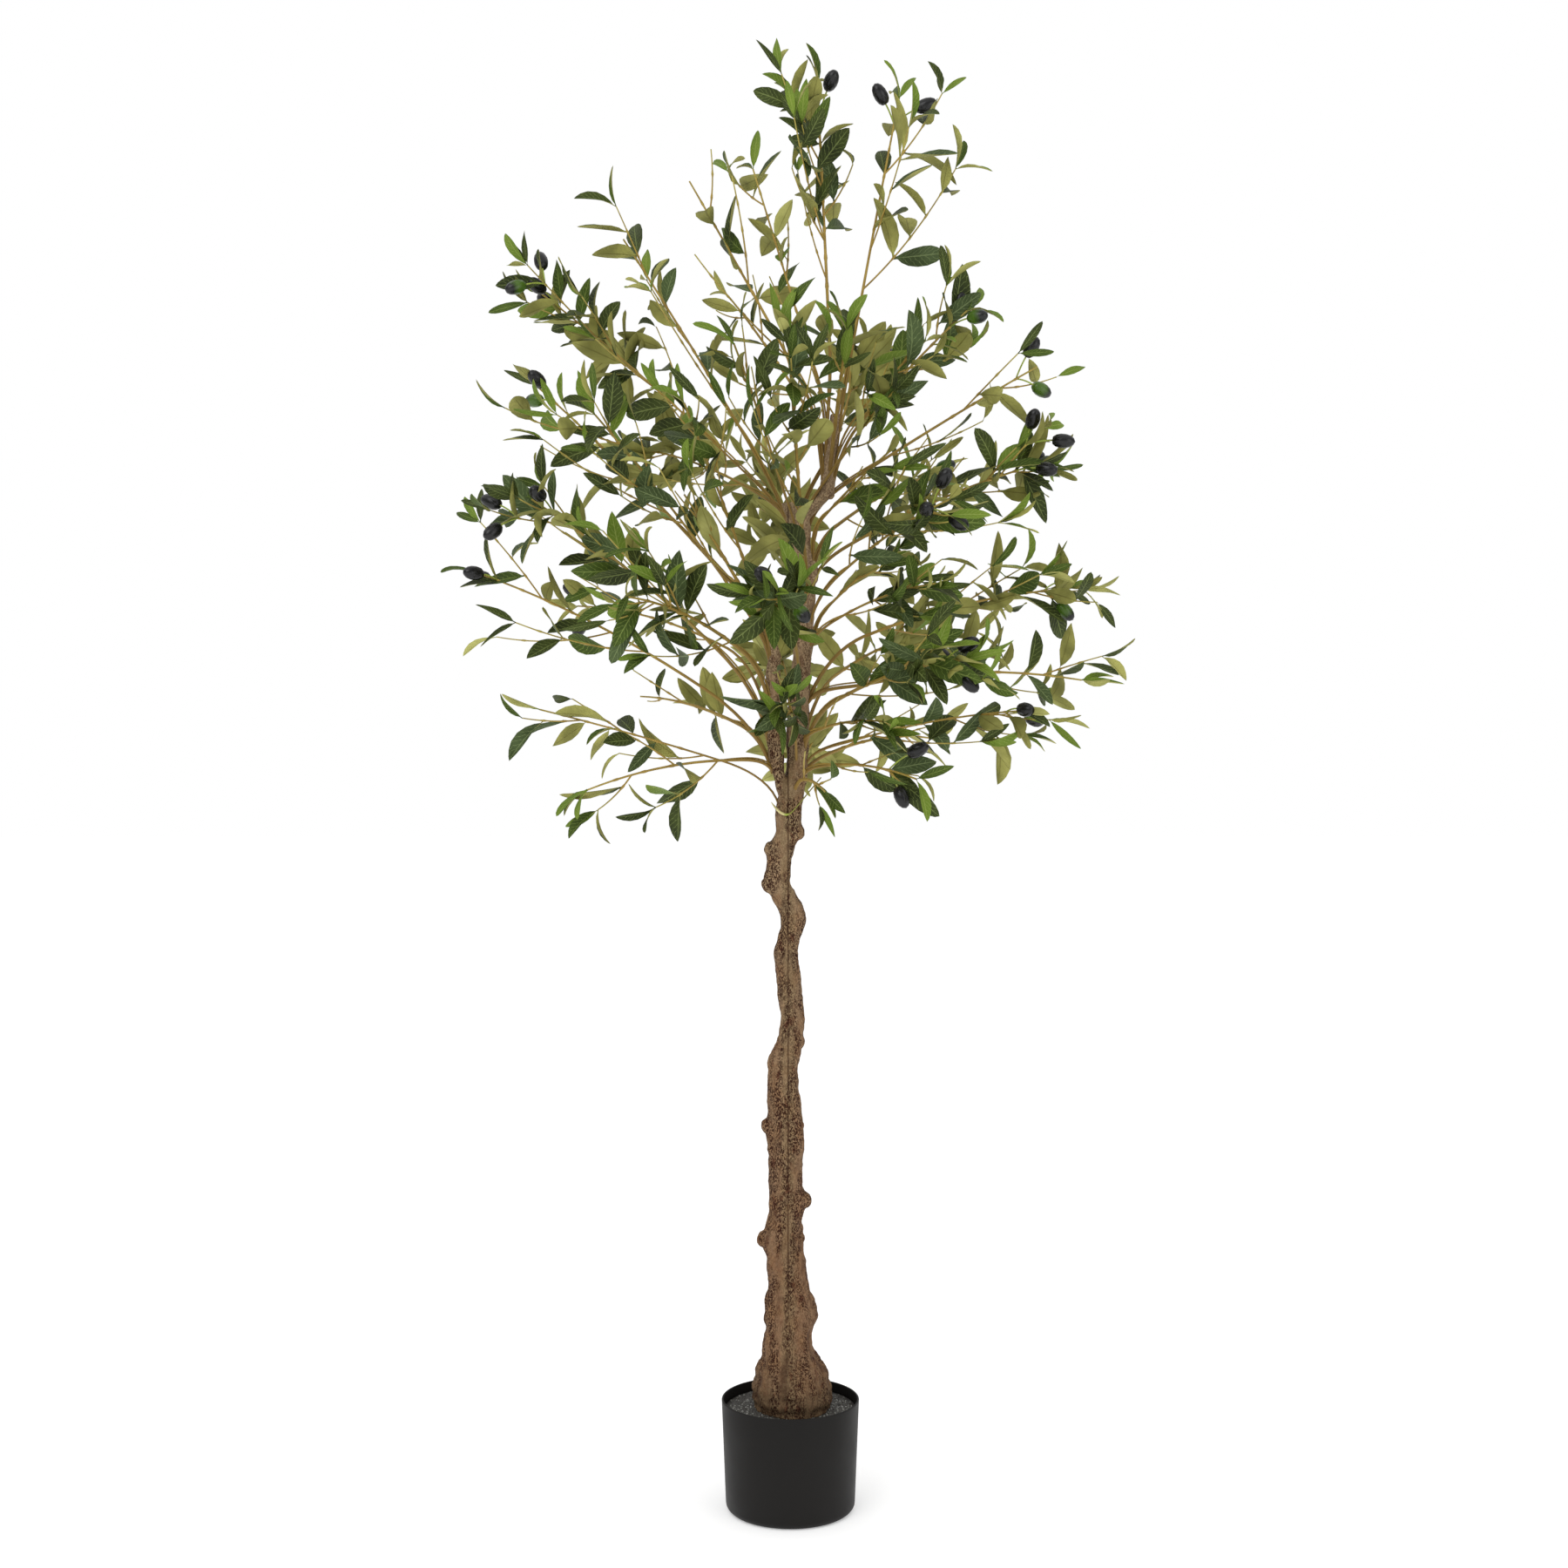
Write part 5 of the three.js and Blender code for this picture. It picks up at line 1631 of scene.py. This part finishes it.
    def shoots(self, stem: Twig, fine_count: int) -> list[tuple[Twig, TwigNode]]:
        """The shoots of a stem that have room, each with the node that it leaves.

        Args:
            stem: The mass's main stem.
            fine_count: How many finer shoots it has.

        Returns:
            The main shoots of the rule, then the finer ones between them.
        """
        rule = self.rule
        coarse = [node for node in stem.nodes(rule.bare, rule.coarse_spacing, rule.coarse_turn)
                  if not node.last]
        fine = stem.nodes(rule.bare, rule.spacing, rule.node_turn)[:-1]
        plans = [(index + 1, within(rule.shoot_range, index / (rule.shoot_count - 1)), rule.shoot_length,
                  index, coarse) for index in range(rule.shoot_count)]
        plans += [(rule.fine_first + index, within(rule.fine_range, (index + 0.5) / fine_count),
                   rule.fine_length, index + 1, fine) for index in range(fine_count)]
        grown: list[tuple[Twig, TwigNode]] = []
        for branch, share, lengths, first, nodes in plans:
            used = {node.share for _, node in grown}
            free = [node for node in nodes if node.share not in used]
            if not free:
                continue
            node = min(free, key=lambda found: abs(found.share - share))
            for trim in rule.shoot_trims:
                length = trim * stem.length * within(lengths, node.share)
                tries = (self.shoot(stem, node, (first + step) % rule.shoot_faces, branch, length)
                         for step in range(rule.shoot_faces))
                found = next((twig for twig in tries if self.fits(points_of(twig.curve, 4)[1:], stem.own)),
                             None)
                if found:
                    grown.append((found, node))
                    break
        return grown

    def sunward(self, point: Vector, ahead: Vector) -> Vector:
        """The way that a leaf's upper side turns: on along its twig, out of the crown, and to the front.

        The tree is dressed for its front, so only the leaves that are well behind the trunk don't turn
        there. The lowest leaves and those of the peak turn there further than the others.

        Args:
            point: Where the leaf leaves its twig.
            ahead: The twig's direction there.

        Returns:
            The way, of any length.
        """
        rule = self.rule
        more = rule.peak_turn if point[2] > rule.peak_from else rule.low_turn if point[2] < rule.low_to else 0
        front = rule.front_turn + more if point[1] < rule.back_from else 0
        return ahead + unit(point * LEVEL) * rule.outward_turn + FRONT * front

    def add_leaf(self, twig: Twig, node: TwigNode, number: int, turn: float, tier: Tier) -> None:
        """Grows a leaf from a node, where its space has room for it.

        Args:
            twig: The twig that bears it.
            node: The node that it leaves.
            number: Its number at that node.
            turn: Its turn round the twig, in degrees.
            tier: The storey that it belongs to.
        """
        rule = self.rule
        keys = (twig.own, twig.branch, node.index, 10 + number)
        size = within(rule.leaf_sizes, node.share)
        slimness, limits, power, tones = rule.leaf_slimness, rule.leaf_spread, rule.leaf_bend, rule.leaf_tones
        if node.last:
            size *= rule.tip_share
            slimness, limits, power, tones = rule.tip_slimness, rule.tip_spread, rule.tip_bend, rule.tip_tones
        limits = (0.0, rule.end_spread) if number == rule.end_leaf else limits
        point, ahead = twig.at(node.share)
        spread = within(limits, chance(*keys, 1))
        along = leaning(ahead, twig.reference, turn + rule.leaf_turn * swing(*keys, 7), spread)
        upper = aside(along, self.sunward(point, ahead), rule.leaf_roll * swing(*keys, 2))
        length = within(rule.leaf_length, chance(*keys, 3)) * size
        width = length * within(slimness, chance(*keys, 4))
        side = np.cross(upper, along) * width / 2
        middle = point + along * length * 0.5
        bend = int(BLADE_BENDS * chance(*keys, 5) ** power)
        end = point + along * length * rule.leaf_end - upper * length * rule.leaf_fall * bend
        spots = np.stack([middle + side, middle - side, end])
        if chance(*keys, 11) > MASSES[twig.own].fill or not self.fits(spots, twig.own):
            return
        form = bend * len(BLADE_FORMS) + int(len(BLADE_FORMS) * chance(*keys, 6))
        draw = chance(*keys, 8)
        tone = next(tone for limit, tone in tones if draw <= limit)
        scale = np.array([width, length, length])
        self.sprays.leaves.setdefault(tier, []).append((point, along, upper, scale, form, tone.value))

    def add_leaves(self, twig: Twig, tier: Tier) -> None:
        """Grows the leaves of a twig: pairs along it, a third one here and there, and a tuft at its tip.

        Args:
            twig: The twig.
            tier: The storey that it belongs to.
        """
        rule = self.rule
        for node in twig.nodes(twig.bare, rule.spacing, rule.node_turn):
            third = rule.third_tip_leaf if node.last else rule.third_leaf
            count = 3 if chance(twig.own, twig.branch, node.index, 9) < third else 2
            for number in range(count):
                self.add_leaf(twig, node, number, node.turn + 360 * number / count, tier)
            if node.last:
                self.add_leaf(twig, node, rule.end_leaf, node.turn, tier)

    def add_olives(self, twig: Twig) -> None:
        """Hangs a pair of olives from the last node but one of a twig.

        Args:
            twig: The twig.
        """
        rule = self.rule
        nodes = twig.nodes(twig.bare, rule.spacing, rule.node_turn)
        node = nodes[-2] if len(nodes) > 1 else nodes[-1]
        point, ahead = twig.at(node.share)
        for number in range(rule.olives_per_tip):
            keys = (twig.own, twig.branch, node.index, 40 + number)
            turn = node.turn + 90 + 180 * number + rule.leaf_turn * swing(*keys, 1)
            out = leaning(ahead, twig.reference, turn, within(rule.stalk_spread, chance(*keys, 2)))
            top = point + out * within(rule.stalk_length, chance(*keys, 3))
            hang = unit(out - UP * rule.olive_droop)
            if self.fits(np.stack([top, top + hang * rule.olive_length]), twig.own):
                ripeness = Ripeness.TURNING if chance(*keys, 5) < rule.turning_share else Ripeness.BLACK
                self.sprays.olives.append((top, hang, ripeness.value))
                curve = np.stack([point, (point + top) / 2 + UP * rule.stalk_arch,
                                  top + hang * rule.stalk_sunk])
                line = points_of(curve, self.stalk_steps)
                self.sprays.stalks.append((line, np.full(len(line), rule.stalk_radius),
                                           np.linspace(*rule.stalk_ages, len(line))))

    def add_wire(self, twig: Twig, ages: Pair) -> None:
        """Draws a twig's wire, a little thicker where leaves are pushed on to it.

        Args:
            twig: The twig.
            ages: How old its coat looks at its foot and at its tip.
        """
        nodes = twig.nodes(twig.bare, self.rule.spacing, self.rule.node_turn)[:-1]
        half = self.rule.node_reach / twig.length
        shares = {step / self.wire_steps for step in range(self.wire_steps + 1)}
        shares |= {twig.heel_share * step / self.heel_steps for step in range(self.heel_steps)}
        shares |= {node.share + half * off for node in nodes for off in self.swell_steps}
        places = np.array(sorted(share for share in shares if 0 <= share <= 1))
        radii = within(twig.radii, places)
        for node in nodes:
            radii = radii + self.rule.node_swell * np.exp(-(((places - node.share) / half) ** 2))
        line = np.array([twig.at(share)[0] for share in places])
        self.sprays.wires.append((line, radii, within(ages, places)))

    def add_companion(self, stem: Twig, node: TwigNode, number: int) -> None:
        """Draws the wire of a shoot where it runs down beside the stem to the limb.

        Args:
            stem: The stem that it runs beside.
            node: The node where the shoot parts from it.
            number: The shoot's number, which sets the side.
        """
        line = []
        radius = self.rule.shoot_radii[0]
        by_number, by_share, by_chance = self.rule.companion_turns
        for step in np.linspace(0, 1, self.companion_steps + 1):
            share = node.share * step
            point, ahead = stem.at(share)
            beside = within(stem.radii, share) + radius * 0.8
            loose = 1 + 0.5 * math.sin(math.pi * step) * chance(stem.own, number, 12)
            turn = by_number * number + by_share * share + by_chance * chance(stem.own, number, 15)
            line.append(point + aside(ahead, stem.reference, turn) * beside * (1 - step**6) * loose)
        ages = np.linspace(*self.rule.companion_ages, len(line))
        self.sprays.wires.append((np.array(line), np.full(len(line), radius), ages))

    def add_tie(self) -> None:
        """Lays the loose pale shoot that hangs round the front of the trunk, under the fork."""
        spots = []
        for bearing, height, gap in self.rule.tie_places:
            centre, radius = LIMBS["trunk"].at(height)
            spots.append(centre + heading(bearing) * (radius + gap))
        shares = np.linspace(0, 1, self.tie_steps + 1)
        line = through(np.array(spots), shares * (len(spots) - 1), closed=False)
        radii, ages = (np.interp(shares, *zip(*pairs)) for pairs in (self.rule.tie_radii, self.rule.tie_ages))
        self.sprays.stalks.append((line, radii, ages))

    def grow(self) -> Sprays:
        """Grows every mass.

        Returns:
            All that has grown.
        """
        rule = self.rule
        for own, mass in enumerate(MASSES):
            tier = next(tier for tier in Tier if mass.name.startswith(tier.value))
            curve = self.stems[own]
            outward = unit((curve[2] - curve[0]) * LEVEL)
            radii = (rule.stem_radii[0] * within(rule.stem_range, chance(own, 16)), rule.stem_radii[1])
            stem = Twig(own, 0, curve, radii, np.cross(UP, outward), 360 * chance(own, 2), mass.bare,
                        self.heel(mass, curve, outward))
            shoots = self.shoots(stem, mass.fine)
            self.add_wire(stem, rule.stem_ages)
            for number, (shoot, node) in enumerate(shoots):
                self.add_wire(shoot, rule.shoot_ages)
                if number == 0 and own % rule.lone_every:
                    self.add_companion(stem, node, number)
            main = [shoot for shoot, _ in shoots if shoot.branch < rule.fine_first]
            for twig in [stem, *reversed(main)][:mass.fruit]:
                self.add_olives(twig)
            for twig in [stem, *(shoot for shoot, _ in shoots)]:
                self.add_leaves(twig, tier)
        self.add_tie()
        LOG.info("grown: %d leaves, %d olives, %d wires", sum(map(len, self.sprays.leaves.values())),
                 len(self.sprays.olives), len(self.sprays.wires))
        return self.sprays


@dataclass
class LeafCanopy:
    """The cloth leaves of the crown, pressed in a few forms and pushed on to the twigs."""

    leaves: dict[Tier, list[Leaf]]
    bend_range: Pair = (4.0, 50.0)
    rib_thickness: float = 0.0128
    stations: tuple[float, ...] = (0.0, 0.07, 0.17, 0.32, 0.5, 0.68, 0.83, 0.94)
    stalk_share: float = 0.07
    stalk_width: float = 0.09
    cup_share: float = 0.22
    wave_count: float = 6.5
    roundness: Pair = (0.95, 0.72)
    columns: Triple = (-1.0, 0.0, 1.0)

    def half_width(self, station: float) -> float:
        """The blade's width at a station, with a narrow stalk and a round, full outline.

        Args:
            station: The share of its length.

        Returns:
            The share of its full width.
        """
        if station <= self.stalk_share:
            return self.stalk_width
        share = (station - self.stalk_share) / (1 - self.stalk_share)
        fuller, rounder = self.roundness
        return max(self.stalk_width, math.sin(math.pi * share**fuller) ** rounder)

    def blade(self, bend: int, form: int) -> Mesh:
        """Presses one leaf, a unit long and a unit wide, with its root at the origin and its tip along +Y.

        Args:
            bend: How far it bends back, from 0 to the last of the bends.
            form: Which of the forms it has.

        Returns:
            The closed blade, with its UV map and its underside marked.
        """
        droop = math.radians(within(self.bend_range, bend / (BLADE_BENDS - 1)))
        twist, cup, wave = BLADE_FORMS[form]
        points: list[Vector] = []
        places: list[Pair] = []
        rows: list[list[int]] = []
        for station in (*self.stations, 1.0):
            angle, turn = droop * station, math.radians(twist) * station
            middle = np.array([0.0, math.sin(angle), math.cos(angle) - 1]) / droop
            normal = np.array([0.0, math.sin(angle), math.cos(angle)])
            if station == 1.0:
                points.append(middle)
                places.append((0.5, station))
                break
            half = self.half_width(station)
            top = range(len(points), len(points) + 3)
            for column in self.columns:
                rise = cup * half * self.cup_share * abs(column)
                rise += wave * column * math.sin(self.wave_count * station + 2 * form) * 0.5
                across = column * half * 0.5
                # The blade's width is scaled apart from its length, so the rise is told in lengths
                lift = rise * math.cos(turn) + across * math.sin(turn) * 0.3
                points.append(middle + normal * lift + np.array([across * math.cos(turn), 0.0, 0.0]))
                places.append((0.5 + column / 2, station))
            rows.append([*top, top[0], len(points), top[2]])
            points.append(points[top[1]] - normal * self.rib_thickness)
            places.append((0.5, station))
        tip = len(points) - 1
        faces, underside = [], []
        for low, high in zip(rows, [*rows[1:], [tip] * 6]):
            for first in (0, 3, 1, 4):
                a, b, c, d = low[first], low[first + 1], high[first + 1], high[first]
                # Both sides are split along the same diagonal, so that they never cross
                halves = [half for half in ((a, b, c), (a, c, d)) if len(set(half)) == 3]
                faces += [half[::-1] if first > 2 else half for half in halves]
                underside += [first > 2] * len(halves)
        foot = rows[0]
        faces.append([foot[2], foot[1], foot[0], foot[4]])
        underside.append(True)
        mesh = mesh_of(f"blade_{bend}_{form}", np.array(points), faces)
        map_uv(mesh, places)
        set_attributes(mesh, {"underside": np.array(underside)}, "FACE")
        rims = {tip, *(row[side] for row in rows for side in (0, 2))}
        for edge in mesh.edges:
            edge.use_edge_sharp = rims.issuperset(edge.vertices)
        return mesh

    def spray_tree(self, values: Values) -> NodeTree:
        """Builds the tree that pushes a blade on to each node and deals out the cloths.

        Args:
            values: What its named inputs will be given.

        Returns:
            The tree.
        """
        tree, add, given = new_tree("leaf_sprays", values)
        along, upper, size, form, tone, under = (
            add("GeometryNodeInputNamedAttribute", {"Name": name}, data_type=kind)
            for name, kind in (("along", "FLOAT_VECTOR"), ("upper", "FLOAT_VECTOR"), ("size", "FLOAT_VECTOR"),
                               ("form", "INT"), ("tone", "INT"), ("underside", "BOOLEAN")))
        turn = add("FunctionNodeAxesToRotation", {"Primary Axis": along, "Secondary Axis": upper},
                   primary_axis="Y", secondary_axis="Z")
        blades = add("GeometryNodeCollectionInfo", {"Collection": given.outputs["Blades"],
                                                    "Separate Children": True, "Reset Children": True})
        pushed = add("GeometryNodeInstanceOnPoints",
                     {"Points": given, "Instance": blades, "Pick Instance": True, "Instance Index": form,
                      "Rotation": turn, "Scale": size})
        coats = []
        for kind in Tone:
            chosen = add("FunctionNodeCompare", {2: tone, 3: kind.value}, data_type="INT", operation="EQUAL")
            coats.append({"Selection": chosen, "Material": given.outputs[f"{kind.name} upper"]})
        for kind in UNDER_CLOTHS:
            chosen = add("FunctionNodeCompare", {2: tone, 3: kind.value}, data_type="INT",
                         operation="GREATER_EQUAL")
            both = add("FunctionNodeBooleanMath", {0: chosen, 1: under}, operation="AND")
            coats.append({"Selection": both, "Material": given.outputs[f"{kind.name} under"]})
        end_tree(add, pushed, coats)
        return tree

    def build(self) -> list[Object]:
        """Presses the blades and dresses each storey of the crown.

        Returns:
            One piece for each storey.
        """
        blades = bpy.data.collections.new("leaf_blades")
        for bend, form in product(range(BLADE_BENDS), range(len(BLADE_FORMS))):
            mesh = self.blade(bend, form)
            blades.objects.link(bpy.data.objects.new(mesh.name, mesh))
        values = {"Blades": blades} | {f"{tone.name} {side}": cloth.material()
                                       for side, cloths in (("upper", UPPER_CLOTHS), ("under", UNDER_CLOTHS))
                                       for tone, cloth in cloths.items()}
        tree = self.spray_tree(values)
        pieces = []
        for tier, rows in self.leaves.items():
            roots, along, upper, size, form, tone = (np.array(column) for column in zip(*rows))
            stored = {"along": along, "upper": upper, "size": size * MM, "form": form, "tone": tone}
            mesh = mesh_of("leaf_roots", roots * MM, [])
            set_attributes(mesh, stored)
            name = f"leaves_{tier.name.lower()}"
            grown = grown_by(tree, name, mesh, values, (*stored, "underside"))
            nodes = [f"foliage_{mass.name}" for mass in MASSES if mass.name.startswith(tier.value)]
            pieces.append(finished_piece(name, grown, Slot.FOLIAGE, nodes))
        return pieces


@dataclass
class WireTwigs:
    """The coated wires of the stems, shoots and fruit stalks."""

    rows: list[Wire]
    name: str
    finish: CoatedWire
    sides: int = 6

    def wire_tree(self, values: Values) -> NodeTree:
        """Builds the tree that coats each line of points as a round wire.

        Args:
            values: What its named inputs will be given.

        Returns:
            The tree.
        """
        tree, add, given = new_tree(f"{self.name}_coat", values)
        radius = add("GeometryNodeInputNamedAttribute", {"Name": "radius"}, data_type="FLOAT")
        line = add("GeometryNodeMeshToCurve", {"Mesh": given})
        section = add("GeometryNodeCurvePrimitiveCircle",
                      {"Resolution": given.outputs["Sides"], "Radius": 1.0}, mode="RADIUS")
        coated = add("GeometryNodeCurveToMesh",
                     {"Curve": line, "Profile Curve": section, "Scale": radius, "Fill Caps": True})
        end_tree(add, add("GeometryNodeSetShadeSmooth", {"Geometry": coated}),
                 [{"Material": given.outputs["Coat"]}])
        return tree

    def build(self) -> Object:
        """Coats the wires.

        Returns:
            The finished piece.
        """
        points, radii, ages = (np.concatenate(column) for column in zip(*self.rows))
        lasts = set(np.cumsum([len(line) for line, _, _ in self.rows]) - 1)
        edges = [(step, step + 1) for step in range(len(points)) if step not in lasts]
        mesh = mesh_of(self.name, points * MM, [], edges)
        set_attributes(mesh, {"radius": radii * MM, "age": ages})
        values = {"Sides": self.sides, "Coat": self.finish.material()}
        grown = grown_by(self.wire_tree(values), self.name, mesh, values, ("radius",))
        return finished_piece(self.name, grown, Slot.FOLIAGE)


@dataclass
class OliveFruit:
    """The moulded olives."""

    rows: list[tuple[Vector, Vector, int]]
    length: float = 0.028
    radius: float = 0.0088
    pit: float = 0.03
    point: float = 1.02
    fullness: float = 0.85
    widths: Pair = (1.04, 0.96)
    sides: int = 12
    rings: int = 7

    def olive(self) -> Mesh:
        """Moulds one olive, a unit long, hanging along +Y from the origin.

        Returns:
            The closed olive, with its UV map.
        """
        profile, places = [(0.0, self.pit)], [(0.5, 0.0)]
        for ring in range(1, self.rings):
            share = 0.5 - 0.5 * math.cos(math.pi * ring / self.rings)
            reach = math.sin(math.pi * ring / self.rings) ** self.fullness
            profile.append((reach * within(self.widths, share), share))
            places += [(side / self.sides, share) for side in range(self.sides)]
        points, faces = turned([*profile, (0.0, self.point)], self.sides)
        mesh = mesh_of("olive", points[:, [1, 2, 0]], faces)
        map_uv(mesh, [*places, (0.5, 1.0)])
        return mesh

    def hang_tree(self, values: Values) -> NodeTree:
        """Builds the tree that hangs an olive on each stalk.

        Args:
            values: What its named inputs will be given.

        Returns:
            The tree.
        """
        tree, add, given = new_tree("olive_hanging", values)
        size = given.outputs
        hang, ripeness = (add("GeometryNodeInputNamedAttribute", {"Name": name}, data_type=kind)
                          for name, kind in (("hang", "FLOAT_VECTOR"), ("ripeness", "INT")))
        turn = add("FunctionNodeAxesToRotation", {"Primary Axis": hang, "Secondary Axis": tuple(UP)},
                   primary_axis="Y", secondary_axis="Z")
        olive = add("GeometryNodeObjectInfo", {"Object": size["Olive"]}).outputs["Geometry"]
        scale = add("CombineXYZ", {0: size["Radius"], 1: size["Length"], 2: size["Radius"]})
        hung = add("GeometryNodeInstanceOnPoints",
                   {"Points": given, "Instance": olive, "Rotation": turn, "Scale": scale})
        chosen = add("FunctionNodeCompare", {2: ripeness, 3: Ripeness.TURNING.value}, data_type="INT",
                     operation="EQUAL")
        end_tree(add, hung, [{"Material": size["Black"]}, {"Selection": chosen, "Material": size["Turning"]}])
        return tree

    def build(self) -> Object:
        """Hangs the olives.

        Returns:
            The finished piece.
        """
        tops, hangs, ripeness = (np.array(column) for column in zip(*self.rows))
        mesh = mesh_of("olive_tops", tops * MM, [])
        set_attributes(mesh, {"hang": hangs, "ripeness": ripeness})
        olive = bpy.data.objects.new("olive", self.olive())
        values = {"Olive": olive, "Length": self.length, "Radius": self.radius}
        values |= {kind.name.title(): OLIVE_SKINS[kind].material() for kind in Ripeness}
        grown = grown_by(self.hang_tree(values), "olives", mesh, values, ("hang", "ripeness"))
        return finished_piece("olives", grown, Slot.FOLIAGE)


@dataclass
class Studio:
    """The pale floor, the soft light and the camera of the photograph.

    The key and the fill light each have a place, a point that they face, a side and a power.
    """

    camera_place: Triple = (-0.0078, -2.394, 0.885)
    image_size: float = 1800.0
    focal_pixels: float = 2245.0
    sensor: float = 36.0
    floor_size: float = 60.0
    floor_glow: float = 0.3
    air_light: float = 0.45
    sky_light: float = 1.2
    sky_spread: float = 120.0
    key: tuple[Triple, Triple, float, float] = ((-1.6, -2.6, 3.0), (0.0, 0.0, 1.1), 2.2, 34.0)
    fill: tuple[Triple, Triple, float, float] = ((2.2, -2.2, 1.6), (0.0, 0.0, 1.0), 2.0, 14.0)

    def floor(self) -> None:
        """Lays the floor that the pot stands on."""
        half = self.floor_size / 2
        corners = np.array([(-half, -half, 0.0), (half, -half, 0.0), (half, half, 0.0), (-half, half, 0.0)])
        mesh = mesh_of("studio_floor", corners, [range(4)])
        material, add = blank_material("painted_floor")
        surface(add, {"Base Color": linear("f7f7f7"), "Roughness": 0.9, "Specular IOR Level": 0.0,
                      "Emission Color": linear("ffffff"), "Emission Strength": self.floor_glow})
        mesh.materials.append(material)
        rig.stage(new_object("studio_floor", mesh))

    def light(self, name: str, place: Triple, aim: Triple, size: float, power: float) -> None:
        """Hangs one square soft light.

        Args:
            name: The light's name.
            place: Where it hangs.
            aim: The point that it faces.
            size: Its side, in metres.
            power: Its power, in watts.
        """
        data = bpy.data.lights.new(name, "AREA")
        data.size, data.energy = size, power
        lamp = new_object(name, data)
        lamp.location = place
        lamp.rotation_euler = (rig.Vector(aim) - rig.Vector(place)).to_track_quat("-Z", "Y").to_euler()

    def build(self) -> None:
        """Sets up the studio."""
        scene = bpy.context.scene
        scene.world = bpy.data.worlds.new("studio_air")
        scene.world.use_nodes = True
        scene.world.node_tree.nodes.clear()
        add = partial(add_node, scene.world.node_tree)
        seen = add("LightPath").outputs["Is Camera Ray"]
        strength = add("MapRange", {0: seen, 3: self.air_light, 4: 1.0})
        background = add("Background", {0: linear("ffffff"), 1: strength})
        add("OutputWorld", {0: background})
        scene.view_settings.view_transform = "Standard"
        self.floor()
        self.light("key", *self.key)
        self.light("fill", *self.fill)
        sky = bpy.data.lights.new("overhead", "SUN")
        sky.energy, sky.angle = self.sky_light, math.radians(self.sky_spread)
        new_object("overhead", sky)
        data = bpy.data.cameras.new("photo_camera")
        data.sensor_width = self.sensor
        data.lens = self.sensor * self.focal_pixels / self.image_size
        camera = new_object("photo_camera", data)
        camera.location = self.camera_place
        camera.rotation_euler = (math.radians(90), 0.0, 0.0)
        scene.camera = camera


def write_sizes() -> None:
    """Writes the boxes of the solids and of the dressed tree, as plain lists."""
    boxes = {"cad": CAD_BOUNDS, "visual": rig.bounds()}
    with open(SIZE_FILE, "w", encoding="utf-8") as out:
        json.dump({name: [list(map(float, corner)) for corner in box] for name, box in boxes.items()}, out)


def main() -> None:
    """Builds the tree piece by piece, then the studio."""
    logging.basicConfig(level=logging.INFO, format="%(name)s %(message)s", stream=sys.stdout)
    Studio().build()
    Pot().build()
    GravelFill().build()
    BarkSkin().build()
    sprays = Crown().grow()
    WireTwigs(sprays.wires, "wire_twigs", TWIG_WIRE).build()
    WireTwigs(sprays.stalks, "olive_stalks", STALK_WIRE, sides=5).build()
    OliveFruit(sprays.olives).build()
    LeafCanopy(sprays.leaves).build()
    write_sizes()


if __name__ == "__main__":
    main()
